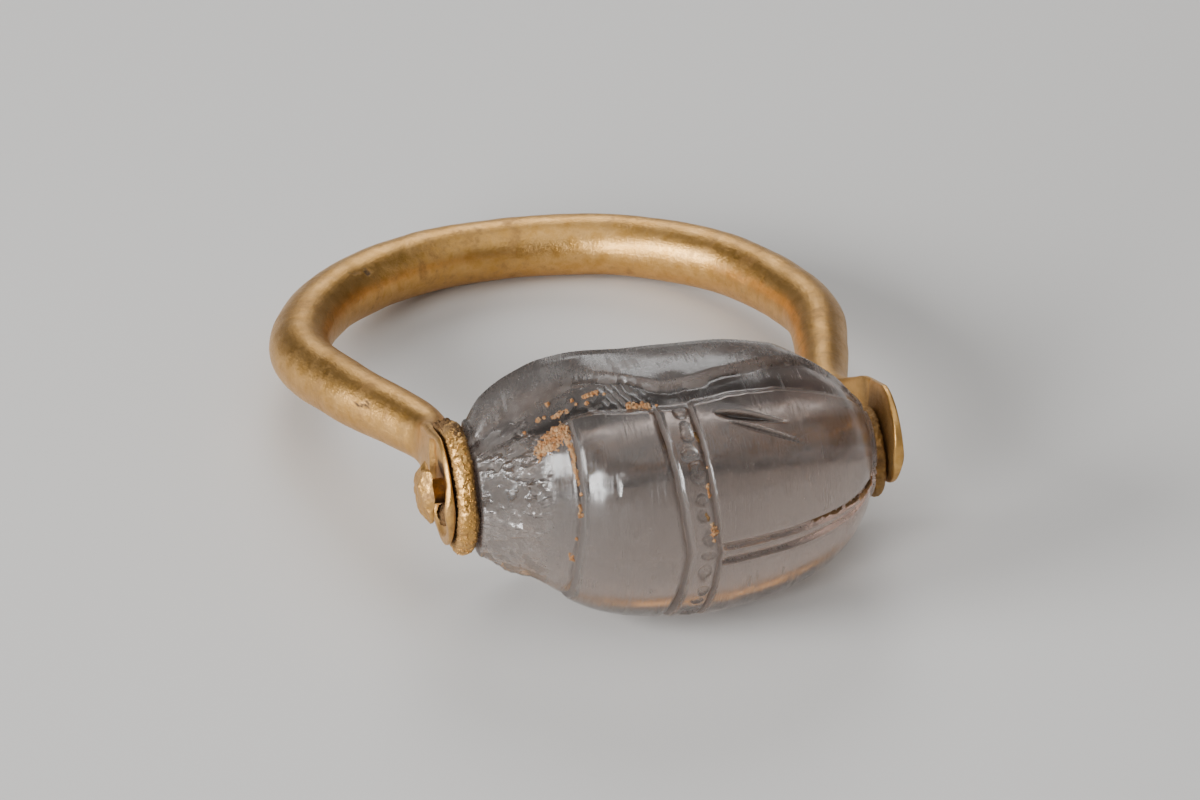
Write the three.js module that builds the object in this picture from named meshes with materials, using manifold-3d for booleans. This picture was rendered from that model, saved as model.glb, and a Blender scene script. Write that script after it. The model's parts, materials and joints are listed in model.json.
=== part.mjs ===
// Gold swivel ring with a rock-crystal scarab, lying on its side on a table.
// Millimetres, +Z up. The swivel axis runs along X, head of the beetle at -X.
// The scarab's back faces -Y, its flat base faces the hoop at +Y.
import * as THREE from 'three';
import { mergeVertices } from 'three/addons/utils/BufferGeometryUtils.js';
import { ParametricGeometry } from 'three/addons/geometries/ParametricGeometry.js';
import Module from 'manifold-3d';

const wasm = await Module();
wasm.setup();

// Swivel axis
const PIVOT_HEIGHT = 5.16;
const PIN_RADIUS = 0.5;
const PIN_CLEARANCE = 0.06;
const PIN_HEAD_RADIUS = 1.25;
const HEAD_END_RISE = 0.56;
const TAIL_END_RISE = 0.3;
const ROUND_SIDES = 18;
const DOME_STEPS = 4;
const MERGE_DISTANCE = 1e-4;

// Terminals: a plate hammered out of each hoop end, and a collar between it and the stone
const HEAD_END = {
  side: -1,
  collarFrom: 8.24, collarTo: 9.02, collarRadius: 2.66, collarDrop: 0,
  plateFrom: 9.12, plateTo: 9.42, plateRadius: 2.3, plateMiddle: [0, 0.13], seatGap: 0.34,
};
const TAIL_END = {
  side: 1,
  collarFrom: 8.14, collarTo: 8.6, collarRadius: 1.82, collarDrop: 0.7,
  plateFrom: 8.71, plateTo: 9.12, plateRadius: 2.04, plateMiddle: [-0.36, 0.36], seatGap: 0.05,
};
const COLLAR_ROUNDING = 0.2;
const PLATE_ROUNDING = 0.1;
const COLLAR_ROOM = 0.25;
const TERMINAL_SIDES = 28;
const RIM_STEPS = 2;
const DRILL_REACH = 12;

// Hoop: a wire that is thickest at the back, where its middle lies at this height, and thins towards its ends
const BACK_HEIGHT = 1.35;
// Wire radius against the share of the hoop's length
const WIRE_TAPER = [
  [0, 0.94], [0.05, 1.03], [0.09, 1.15], [0.17, 1.27], [0.26, 1.31], [0.42, 1.36], [0.6, 1.36], [0.8, 1.24],
  [0.91, 1.02], [1, 0.94],
];
// How round the wire is against the distance from the nearer end
const WIRE_ROUNDNESS = [[0, 0], [1.0, 0.04], [2.5, 0.34], [4.2, 0.9], [5.6, 1], [80, 1]];
// How much wider than the wire the hammered neck is, against the same distance
const NECK_FLARE = [[0, 1.17], [0.6, 1.07], [1.7, 0.6], [2.5, 0.26], [3.2, 0.07], [4.2, 0], [80, 0]];
const NECK_HALF_THICKNESS = 0.15;
const HOOP_STEPS = 66;
const END_CAP_SHARE = 0.02;
const WIRE_SIDES = 12;
// Centre line in plan, x and y from the middle of the swivel axis, bent by hand and not quite even
const HOOP_PLAN = [
  [-9.27, 1.3], [-9.2, 2.8], [-8.75, 5.2], [-11.08, 10.86], [-12.12, 15.6], [-9.8, 21.0], [-5.4, 24.4],
  [-0.7, 25.2], [4.1, 24.05], [7.95, 20.3], [9.78, 14.2], [9.1, 9.6], [8.12, 5.4], [8.36, 3.7], [8.92, 1.3],
];
const HOOP_BACK = 25.2;
// How far the hoop leans up towards the head end, for each millimetre along the axis
const HOOP_ROLL = 0.014;

// Scarab, measured from the swivel axis: along it, up the back and out to each flank
const SCARAB_DIP = 5.5;
const SCARAB_START = -8.14;
const SCARAB_STOP = 8.04;
const BASE_DEPTH = 1.6;
const BORDER_HEIGHT = 1.0;
const BORDER_MOST = 0.35;
const BACK_PROFILE = [
  [-8.14, 2.5], [-7.1, 3.4], [-5.9, 4.05], [-4.7, 4.98], [-3.6, 5.6], [-2.0, 6.05], [0.4, 6.26], [3.1, 5.9],
  [5.1, 5.2], [6.5, 4.35], [7.5, 3.2], [8.04, 2.0],
];
const FLANK_PROFILE = [
  [-8.14, 2.2], [-7.1, 2.9], [-5.9, 3.48], [-4.7, 4.25], [-3.6, 4.72], [-2.0, 5.06], [0.4, 5.22], [3.1, 4.98],
  [5.1, 4.4], [6.5, 3.56], [7.5, 2.46], [8.04, 1.4],
];
const BASE_OUTLINE = [
  [-8.14, 1.7], [-7.4, 3.2], [-6.3, 4.14], [-5.0, 4.71], [-3.7, 4.87], [-1.5, 4.74], [1.5, 4.68], [4.3, 4.18],
  [5.6, 3.4], [6.9, 2.32], [8.04, 0.95],
];
const DOME_FULLNESS = 0.84;
const DOME_SHARE = 0.66;
const FLANK_SHARE = 0.26;
const SCARAB_STATIONS = 60;
const SCARAB_SIDES = 50;
const SPREAD_SAMPLES = 400;
const LINE_CROWDING = 2;
const EDGE_CROWDING = 1.5;
const LEAN_TURN = 90;
const LEAN_REACH = 4;

// Carving: lines across the back, each at a distance along the axis, that lean by so much a degree of turn
const HEAD_LINE = { at: -4.62, lean: 0.003, depth: 0.16, halfWidth: 0.22 };
const THORAX_LINE = { at: -0.62, lean: -0.0125, depth: 0.2, halfWidth: 0.24 };
const WING_LINE = { at: 0.62, lean: -0.0105, depth: 0.16, halfWidth: 0.2 };
const CROSS_LINES = [HEAD_LINE, THORAX_LINE, WING_LINE];
const SUTURE = { from: 0.62, depth: 0.17, halfWidth: 0.34 };
// The stepped border down each flank: its two edges in degrees of turn from the middle of the back
const BORDER_TOP = [
  [-8.14, 64], [-6.3, 66], [-5.4, 62], [-4.4, 66], [-2.9, 62.6], [-0.5, 60], [1.9, 63.4], [4.4, 65],
  [6.1, 63], [8.04, 54],
];
const BORDER_FOOT = [
  [-8.14, 92], [-6.0, 98], [-4.4, 94], [-2.9, 86], [-0.45, 70.5], [1.6, 75], [4.4, 87], [6.5, 98],
  [8.04, 90],
];
const BORDER_DEPTH = 0.24;
const BORDER_SOFTNESS = 4;
const BORDER_FOOT_SOFTNESS = 7;
const WAIST = { at: -0.45, halfWidth: 0.7, depth: 0.26, turn: 68, turnWidth: 14 };

// The slab of table whose top the ring lies on
const TABLE_WIDTH = 100;
const TABLE_DEPTH = 10;

const GOLD = { color: 0xc79a4e, roughness: 0.38, metalness: 1.0 };
const CRYSTAL = { color: 0xb9aeae, roughness: 0.22, metalness: 0.0, transparent: true, opacity: 0.4 };

/** Smooth curve y(x) through a few knots, with no overshoot between them. */
function profile(knots) {
  const slopes = knots.map((knot, i) => {
    if (i === 0 || i === knots.length - 1) {
      const [a, b] = i === 0 ? [knots[0], knots[1]] : [knots[i - 1], knots[i]];
      return (b[1] - a[1]) / (b[0] - a[0]);
    }
    const before = (knot[1] - knots[i - 1][1]) / (knot[0] - knots[i - 1][0]);
    const after = (knots[i + 1][1] - knot[1]) / (knots[i + 1][0] - knot[0]);
    return before * after > 0 ? (2 * before * after) / (before + after) : 0;
  });
  return (x) => {
    const last = knots.length - 2;
    const i = Math.min(last, Math.max(0, knots.findIndex((knot) => knot[0] >= x) - 1));
    const [x0, y0] = knots[i];
    const [x1, y1] = knots[i + 1];
    const t = Math.min(1, Math.max(0, (x - x0) / (x1 - x0)));
    const span = x1 - x0;
    const h1 = t * t * (3 - 2 * t);
    return y0 * (1 - h1) + y1 * h1 + span * t * (1 - t) * (slopes[i] * (1 - t) - slopes[i + 1] * t);
  };
}

/** Turns a closed three.js geometry into a solid that can be cut and joined. */
function toSolid(geometry) {
  const bare = geometry.clone();
  bare.deleteAttribute('normal');
  bare.deleteAttribute('uv');
  const merged = mergeVertices(bare, MERGE_DISTANCE);
  const corners = [];
  for (let i = 0; i < merged.index.count; i += 3) {
    const [a, b, c] = [merged.index.getX(i), merged.index.getX(i + 1), merged.index.getX(i + 2)];
    if (a !== b && b !== c && c !== a) corners.push(a, b, c);
  }
  const mesh = new wasm.Mesh({
    numProp: 3,
    vertProperties: new Float32Array(merged.attributes.position.array),
    triVerts: new Uint32Array(corners),
  });
  return new wasm.Manifold(mesh);
}

/** Turns a finished solid back into a three.js geometry. */
function toGeometry(solid) {
  const mesh = solid.getMesh();
  const geometry = new THREE.BufferGeometry();
  geometry.setAttribute('position', new THREE.BufferAttribute(mesh.vertProperties, 3));
  geometry.setIndex(new THREE.BufferAttribute(mesh.triVerts, 1));
  geometry.computeVertexNormals();
  return geometry;
}

/** Solid of revolution about the swivel axis; the profile gives [along, radius] pairs. */
function turned(points, sides) {
  const outline = points.map(([along, radius]) => new THREE.Vector2(radius, along));
  return new THREE.LatheGeometry(outline, sides).rotateZ(-Math.PI / 2).translate(0, 0, PIVOT_HEIGHT);
}

/** Plain round bar along the swivel axis, for drilling and clearing. */
function axleBar(from, to, radius, sides) {
  return toSolid(turned([[from, 0], [from, radius], [to, radius], [to, 0]], sides));
}

/** The drilling that the pin runs in. */
function pinDrill() {
  return axleBar(-DRILL_REACH, DRILL_REACH, PIN_RADIUS + PIN_CLEARANCE, ROUND_SIDES);
}

/** Disc with a rounded rim, between two distances along the axis, its middle shifted off it in y and z. */
function pierceableDisc(from, to, radius, rounding, [ahead, rise]) {
  const rim = [];
  for (let i = 0; i <= RIM_STEPS; i += 1) {
    const angle = (i / RIM_STEPS) * (Math.PI / 2);
    rim.push([from + rounding * (1 - Math.sin(angle)), radius - rounding * (1 - Math.cos(angle))]);
  }
  const near = rim.reverse();
  const far = [...near].reverse().map(([along, r]) => [from + to - along, r]);
  return toSolid(turned([[from, 0], ...near, ...far, [to, 0]], TERMINAL_SIDES).translate(0, ahead, rise));
}

/** The wire of the hoop: round, thinner along the arms, flattened into the terminal plates. */
function hoopWire() {
  const tilt = (PIVOT_HEIGHT - BACK_HEIGHT) / HOOP_BACK;
  const centres = HOOP_PLAN.map(([x, y]) => new THREE.Vector3(x, y, PIVOT_HEIGHT - tilt * y - HOOP_ROLL * x));
  const path = new THREE.CatmullRomCurve3(centres, false, 'centripetal');
  const up = new THREE.Vector3(HOOP_ROLL, tilt, 1).normalize();
  const roundness = profile(WIRE_ROUNDNESS);
  const flare = profile(NECK_FLARE);
  const taper = profile(WIRE_TAPER);
  const length = path.getLength();
  return new ParametricGeometry((u, v, target) => {
    const along = THREE.MathUtils.clamp(u + (2 * u - 1) * END_CAP_SHARE, 0, 1);
    const centre = path.getPointAt(along);
    const side = path.getTangentAt(along).cross(up).normalize();
    const fromEnd = Math.min(along, 1 - along) * length;
    const round = taper(along);
    const flat = roundness(fromEnd);
    const halfThickness = NECK_HALF_THICKNESS + (round - NECK_HALF_THICKNESS) * flat;
    const halfWidth = round * (1 + flare(fromEnd));
    const angle = v * 2 * Math.PI;
    const cap = u <= 0 || u >= 1 ? 0 : 1;
    target.copy(centre)
      .addScaledVector(side, cap * halfThickness * Math.cos(angle))
      .addScaledVector(up, cap * halfWidth * Math.sin(angle));
  }, HOOP_STEPS, WIRE_SIDES);
}

/** Hoop with its two pierced plates, cleared around the collars. */
function hoop() {
  let solid = toSolid(hoopWire());
  for (const end of [HEAD_END, TAIL_END]) {
    const [a, b] = [end.side * end.plateFrom, end.side * end.plateTo].sort((p, q) => p - q);
    solid = solid.add(pierceableDisc(a, b, end.plateRadius, PLATE_ROUNDING, end.plateMiddle));
    const inner = [0, end.side * end.plateFrom].sort((p, q) => p - q);
    const room = end.collarRadius + end.collarDrop + COLLAR_ROOM;
    solid = solid.subtract(axleBar(inner[0], inner[1], room, TERMINAL_SIDES));
  }
  return solid.subtract(pinDrill());
}

/** Gold washer between a plate and the stone; a loose one hangs a little below the pin. */
function collar(end) {
  const [a, b] = [end.side * end.collarFrom, end.side * end.collarTo].sort((p, q) => p - q);
  return pierceableDisc(a, b, end.collarRadius, COLLAR_ROUNDING, [0, -end.collarDrop]).subtract(pinDrill());
}

/** Pin with a hammered, domed head at each end. */
function pivotPin() {
  const dome = (seat, rise) => {
    const points = [];
    for (let i = 0; i <= DOME_STEPS; i += 1) {
      const angle = (i / DOME_STEPS) * (Math.PI / 2);
      points.push([seat + rise * Math.cos(angle), PIN_HEAD_RADIUS * Math.sin(angle)]);
    }
    return points;
  };
  const headSeat = -(HEAD_END.plateTo + HEAD_END.seatGap);
  const tailSeat = TAIL_END.plateTo + TAIL_END.seatGap;
  const outline = [
    ...dome(headSeat, -HEAD_END_RISE), [headSeat, PIN_RADIUS],
    [tailSeat, PIN_RADIUS], ...dome(tailSeat, TAIL_END_RISE).reverse(),
  ];
  return toSolid(turned(outline, ROUND_SIDES));
}

/** Spreads steps over a range, closer together where the weight is higher. */
function spread(from, to, weight) {
  const sums = [0];
  for (let i = 0; i < SPREAD_SAMPLES; i += 1) {
    sums.push(sums[i] + weight(from + ((i + 0.5) / SPREAD_SAMPLES) * (to - from)));
  }
  return (share) => {
    const wanted = share * sums[SPREAD_SAMPLES];
    const i = Math.min(SPREAD_SAMPLES - 1, Math.max(0, sums.findIndex((sum) => sum >= wanted) - 1));
    return from + ((i + (wanted - sums[i]) / (sums[i + 1] - sums[i])) / SPREAD_SAMPLES) * (to - from);
  };
}

/** A smooth bump: 1 at the middle, 0 past the half width. */
function bump(offset, halfWidth) {
  const t = Math.min(1, Math.abs(offset) / halfWidth);
  return (1 - t * t) ** 2;
}

/** How deep the carving goes at a place on the back: distance along the axis and degrees of turn. */
function carving(along, turn, out, edges) {
  const top = edges.top(along);
  const foot = edges.foot(along);
  const rise = THREE.MathUtils.smoothstep(turn, top - BORDER_SOFTNESS, top + BORDER_SOFTNESS);
  const fall = THREE.MathUtils.smoothstep(turn, foot - BORDER_FOOT_SOFTNESS, foot + BORDER_FOOT_SOFTNESS);
  let depth = BORDER_DEPTH * rise * (1 - fall);
  depth += WAIST.depth * bump(along - WAIST.at, WAIST.halfWidth) * bump(turn - WAIST.turn, WAIST.turnWidth);
  const onBack = 1 - rise;
  for (const line of CROSS_LINES) {
    depth += onBack * line.depth * bump(along - line.at - line.lean * turn, line.halfWidth);
  }
  const behind = along - SUTURE.from;
  const pastWing = THREE.MathUtils.smoothstep(behind, -SUTURE.halfWidth, SUTURE.halfWidth);
  return depth + SUTURE.depth * pastWing * bump(out, SUTURE.halfWidth);
}

/** Half of the beetle's uncarved cross-section, from the middle of the back to the middle of the base. */
function section(forms, along, q) {
  const height = forms.back(along);
  const width = forms.flank(along);
  const base = forms.base(along);
  const border = Math.min(BORDER_HEIGHT, BORDER_MOST * height);
  if (q <= DOME_SHARE) {
    const angle = (q / DOME_SHARE) * (Math.PI / 2);
    const up = border + (height - border) * Math.cos(angle) ** DOME_FULLNESS;
    return { up, out: width * Math.sin(angle) ** DOME_FULLNESS };
  }
  if (q <= DOME_SHARE + FLANK_SHARE) {
    const t = (q - DOME_SHARE) / FLANK_SHARE;
    return { up: border - (border + BASE_DEPTH) * t, out: width + (base - width) * t * t };
  }
  return { up: -BASE_DEPTH, out: base * ((1 - q) / (1 - DOME_SHARE - FLANK_SHARE)) };
}

/** Degrees of turn of a place on the cross-section, from the middle of the back. */
function turnOf({ up, out }) {
  return THREE.MathUtils.radToDeg(Math.atan2(out, up));
}

/** The beetle: a carved, domed back over a plain flank and a flat base, drilled along its length. */
function scarab() {
  const forms = { back: profile(BACK_PROFILE), flank: profile(FLANK_PROFILE), base: profile(BASE_OUTLINE) };
  const edges = { top: profile(BORDER_TOP), foot: profile(BORDER_FOOT) };
  const nearLine = (x) => Math.max(...CROSS_LINES.map((line) => bump(x - line.at, 2 * line.halfWidth)));
  const station = spread(SCARAB_START, SCARAB_STOP, (x) => 1 + LINE_CROWDING * nearLine(x));
  // Points gather along the carved edges, so that each edge runs along a row of them
  const rows = Array.from({ length: SCARAB_STATIONS + 1 }, (_, step) => {
    const s = station(THREE.MathUtils.clamp((step - 1) / (SCARAB_STATIONS - 2), 0, 1));
    const girth = spread(0, 1, (q) => {
      const place = section(forms, s, q);
      const turn = turnOf(place);
      const near = bump(place.out, 2 * SUTURE.halfWidth) * (place.up > 0 ? 1 : 0)
        + bump(turn - edges.top(s), 3 * BORDER_SOFTNESS)
        + bump(turn - edges.foot(s), 3 * BORDER_FOOT_SOFTNESS);
      return 1 + EDGE_CROWDING * near;
    });
    return { s, girth };
  });
  const lean = (THORAX_LINE.lean + WING_LINE.lean) / 2;
  const body = new ParametricGeometry((u, v, target) => {
    const step = Math.round(u * SCARAB_STATIONS);
    const cap = step === 0 || step === SCARAB_STATIONS ? 0 : 1;
    const side = v <= 0.5 ? 1 : -1;
    const { s, girth } = rows[step];
    const q = girth(v <= 0.5 ? v * 2 : 2 - v * 2);
    // Around the middle the rows lean with the two lines there
    const along = s + cap * lean * LEAN_TURN * Math.min(1, q / DOME_SHARE) * bump(s, LEAN_REACH);
    const place = section(forms, along, q);
    const carved = q <= DOME_SHARE + FLANK_SHARE;
    const depth = carved ? carving(along, turnOf(place), place.out, edges) : 0;
    const keep = cap * (1 - depth / Math.hypot(place.up, place.out));
    target.set(along, -place.up * keep, side * place.out * keep);
  }, SCARAB_STATIONS, SCARAB_SIDES);
  body.rotateX(THREE.MathUtils.degToRad(SCARAB_DIP)).translate(0, 0, PIVOT_HEIGHT);
  return toSolid(body).subtract(pinDrill());
}

/** Takes off whatever lies under the table, which leaves the small flats that it rests on. */
function rested(solid) {
  const slab = new THREE.BoxGeometry(TABLE_WIDTH, TABLE_WIDTH, TABLE_DEPTH);
  return solid.subtract(toSolid(slab.translate(0, 0, -TABLE_DEPTH / 2)));
}

const pieces = {
  hoop: [rested(hoop()), GOLD],
  head_collar: [collar(HEAD_END), GOLD],
  tail_collar: [collar(TAIL_END), GOLD],
  pivot_pin: [pivotPin(), GOLD],
  scarab: [rested(scarab()), CRYSTAL],
};

const ring = new THREE.Group();
for (const [name, [solid, finish]] of Object.entries(pieces)) {
  const mesh = new THREE.Mesh(toGeometry(solid), new THREE.MeshStandardMaterial(finish));
  mesh.name = name;
  ring.add(mesh);
}
const footprint = new THREE.Box3().setFromObject(ring);
const middle = footprint.getCenter(new THREE.Vector3());
ring.position.set(-middle.x, -middle.y, -footprint.min.z);

export default ring;
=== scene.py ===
"""Looks of a gold swivel ring that carries a rock-crystal scarab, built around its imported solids.

Sizes are in millimetres, measured from the middle of the swivel axis: x along the axis from the
beetle's head to its tail, y towards the back of the hoop, z up. A Place turns them into metres in
the frame's own axes.
"""

import json
import logging
import math
from collections.abc import Callable
from dataclasses import dataclass, field
from enum import Enum

import bmesh
import bpy
import numpy as np
from mathutils import Matrix, Vector, noise

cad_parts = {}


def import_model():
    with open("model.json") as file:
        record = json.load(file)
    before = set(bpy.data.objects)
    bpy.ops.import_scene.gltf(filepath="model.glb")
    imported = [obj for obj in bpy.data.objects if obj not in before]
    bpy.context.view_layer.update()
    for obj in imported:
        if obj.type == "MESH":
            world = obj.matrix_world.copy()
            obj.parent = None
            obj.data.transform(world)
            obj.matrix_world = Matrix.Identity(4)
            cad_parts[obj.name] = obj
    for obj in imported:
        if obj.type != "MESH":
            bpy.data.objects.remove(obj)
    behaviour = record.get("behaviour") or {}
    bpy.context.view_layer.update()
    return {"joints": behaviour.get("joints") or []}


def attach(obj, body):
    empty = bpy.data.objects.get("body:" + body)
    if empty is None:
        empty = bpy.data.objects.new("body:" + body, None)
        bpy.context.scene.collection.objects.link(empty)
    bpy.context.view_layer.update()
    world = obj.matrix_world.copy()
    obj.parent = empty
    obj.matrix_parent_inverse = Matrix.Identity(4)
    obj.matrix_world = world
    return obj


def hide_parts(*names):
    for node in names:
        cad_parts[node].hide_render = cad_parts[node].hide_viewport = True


LOG = logging.getLogger("scarab_ring")
MILLIMETRE = 0.001
FULL_TURN = 2.0 * math.pi
QUARTER_TURN = 0.5 * math.pi
NO_LENGTH = 1e-12
CHART = "along_around"
SPREAD_SAMPLES = 4000
SEED_STEPS = (17.3, -9.1, 5.7)
Colour = tuple[float, float, float]
Point = tuple[float, float, float]
Socket = bpy.types.NodeSocket


class Body(Enum):
    """The two bodies that the joint parts."""

    RING = "ring"
    STONE = "stone"


class Slot(Enum):
    """The record's finishes."""

    GOLD = "gold"
    CRYSTAL = "crystal"
    EARTH = "earth"


class End(Enum):
    """The two ends of the swivel axis, each with the way it points along x."""

    HEAD = -1.0
    TAIL = 1.0


# Curves and small shaping functions


@dataclass(frozen=True)
class Curve:
    """Smooth curve through a few knots that doesn't overshoot between them."""

    knots: tuple[tuple[float, float], ...]

    def __call__(self, x: np.ndarray) -> np.ndarray:
        """Reads the curve.

        Args:
            x: where to read it, held inside the knots.

        Returns:
            The height of the curve at each x.
        """
        at, height = np.array(self.knots, float).T
        rise = np.diff(height) / np.diff(at)
        product = rise[:-1] * rise[1:]
        total = np.where(product > 0.0, rise[:-1] + rise[1:], 1.0)
        inner = np.where(product > 0.0, 2.0 * product / total, 0.0)
        slope = np.concatenate([rise[:1], inner, rise[-1:]])
        i = np.clip(np.searchsorted(at, x) - 1, 0, len(at) - 2)
        span = at[i + 1] - at[i]
        t = np.clip((x - at[i]) / span, 0.0, 1.0)
        share = t * t * (3.0 - 2.0 * t)
        bend = span * t * (1.0 - t) * (slope[i] * (1.0 - t) - slope[i + 1] * t)
        return height[i] * (1.0 - share) + height[i + 1] * share + bend


def bump(offset: np.ndarray, half_width: float | np.ndarray) -> np.ndarray:
    """A smooth hump.

    Args:
        offset: distance from the hump's middle.
        half_width: distance at which it has run out.

    Returns:
        1 at the middle, falling to 0.
    """
    t = np.minimum(1.0, np.abs(offset) / half_width)
    return (1.0 - t * t) ** 2


def ramp(x: np.ndarray, low: float | np.ndarray, high: float | np.ndarray) -> np.ndarray:
    """A smooth step.

    Args:
        x: where to read it.
        low: where it leaves 0.
        high: where it reaches 1.

    Returns:
        The step's height at each x.
    """
    t = np.clip((x - low) / (high - low), 0.0, 1.0)
    return t * t * (3.0 - 2.0 * t)


def spread(low: float, high: float, count: int,
           weight: Callable[[np.ndarray], np.ndarray]) -> np.ndarray:
    """Steps over a range that stand closer together where the weight is higher.

    Args:
        low: first value.
        high: last value.
        count: how many values.
        weight: how crowded the steps are at each value.

    Returns:
        The values, rising from low to high.
    """
    fine = np.linspace(low, high, SPREAD_SAMPLES)
    total = np.concatenate([[0.0], np.cumsum(weight(0.5 * (fine[1:] + fine[:-1])))])
    return np.interp(np.linspace(0.0, total[-1], count), total, fine)


def uneven(points: np.ndarray, pitch: float, octaves: int, seed: float) -> np.ndarray:
    """Smooth random heights over places in space.

    Args:
        points: the places, in any array whose last axis is x, y and z.
        pitch: how far apart the coarsest swells are.
        octaves: how many finer swells are added.
        seed: which pattern.

    Returns:
        One height a place, mostly between -1 and 1.
    """
    offset = Vector([step * seed for step in SEED_STEPS])
    rows = (points / pitch).reshape(-1, 3).tolist()
    heights = [noise.fractal(Vector(row) + offset, 1.0, 2.0, octaves) for row in rows]
    return np.array(heights).reshape(points.shape[:-1])


# Meshes


@dataclass(frozen=True)
class Place:
    """Where the swivel axis' middle is in the frame."""

    pivot: Vector

    @property
    def table(self) -> float:
        """Height of the table under the axis, in millimetres."""
        return -self.pivot.z / MILLIMETRE

    def metres(self, points: np.ndarray) -> np.ndarray:
        """Points in millimetres from the axis' middle as metres in the frame."""
        return points * MILLIMETRE + np.array(self.pivot)


@dataclass
class Shell:
    """A mesh in millimetres, before it becomes an object."""

    points: np.ndarray
    faces: list[tuple[int, ...]]
    layers: dict[str, np.ndarray] = field(default_factory=dict)
    uv: np.ndarray | None = None

    def build(self, name: str, place: Place) -> bpy.types.Object:
        """Makes the object, smooth shaded, with its faces pointing out.

        Args:
            name: the piece's name.
            place: where the axis is.

        Returns:
            The object, at the origin, with its place in its mesh.
        """
        mesh = bpy.data.meshes.new(name)
        mesh.from_pydata(place.metres(self.points).tolist(), [], self.faces)
        mesh.validate()
        for layer, values in self.layers.items():
            mesh.attributes.new(layer, "FLOAT", "POINT").data.foreach_set("value", values.astype(np.float32))
        if self.uv is not None:
            corner = np.zeros(len(mesh.loops), np.int32)
            mesh.loops.foreach_get("vertex_index", corner)
            chart = mesh.uv_layers.new(name=CHART)
            chart.data.foreach_set("uv", self.uv[corner].astype(np.float32).ravel())
        shaping = bmesh.new()
        shaping.from_mesh(mesh)
        bmesh.ops.recalc_face_normals(shaping, faces=shaping.faces)
        shaping.to_mesh(mesh)
        shaping.free()
        mesh.shade_smooth()
        piece = bpy.data.objects.new(name, mesh)
        bpy.context.scene.collection.objects.link(piece)
        return piece


def band_faces(rings: int, columns: int, closed: bool) -> list[tuple[int, int, int, int]]:
    """Quads between rings of points that lie one after the other.

    Args:
        rings: how many rings.
        columns: points a ring, which closes on itself.
        closed: whether the last ring joins the first.

    Returns:
        The corners of each quad.
    """
    i, j = np.meshgrid(np.arange(rings if closed else rings - 1), np.arange(columns), indexing="ij")
    i, j = i.ravel(), j.ravel()
    across, after = (j + 1) % columns, (i + 1) % rings
    quads = np.stack([i * columns + j, i * columns + across,
                      after * columns + across, after * columns + j], 1)
    return [tuple(quad) for quad in quads.tolist()]


def capped_faces(rings: int, columns: int) -> list[tuple[int, ...]]:
    """Quads between rings of points, and one face over each end.

    Args:
        rings: how many rings.
        columns: points a ring, which closes on itself.

    Returns:
        The corners of each face.
    """
    last = (rings - 1) * columns
    ends = [tuple(range(columns)), tuple(range(last, last + columns))]
    return band_faces(rings, columns, False) + ends


def ring_normals(rings: np.ndarray, closed: bool) -> np.ndarray:
    """Normals of a mesh made of rings, pointing away from the rings' middles.

    Args:
        rings: points as rings by columns by 3.
        closed: whether the last ring joins the first.

    Returns:
        One unit vector a point, in the same order.
    """
    points = rings.reshape(-1, 3)
    faces = np.array(band_faces(*rings.shape[:2], closed))
    corner = points[faces]
    facing = np.cross(corner[:, 2] - corner[:, 0], corner[:, 3] - corner[:, 1])
    total = np.zeros_like(points)
    for k in range(faces.shape[1]):
        np.add.at(total, faces[:, k], facing)
    normals = total / np.maximum(np.linalg.norm(total, axis=1, keepdims=True), NO_LENGTH)
    normals = normals.reshape(rings.shape)
    outward = np.sum(normals * (rings - rings.mean(axis=1, keepdims=True)), axis=-1).mean()
    return normals if outward > 0.0 else -normals


# Finishes


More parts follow.
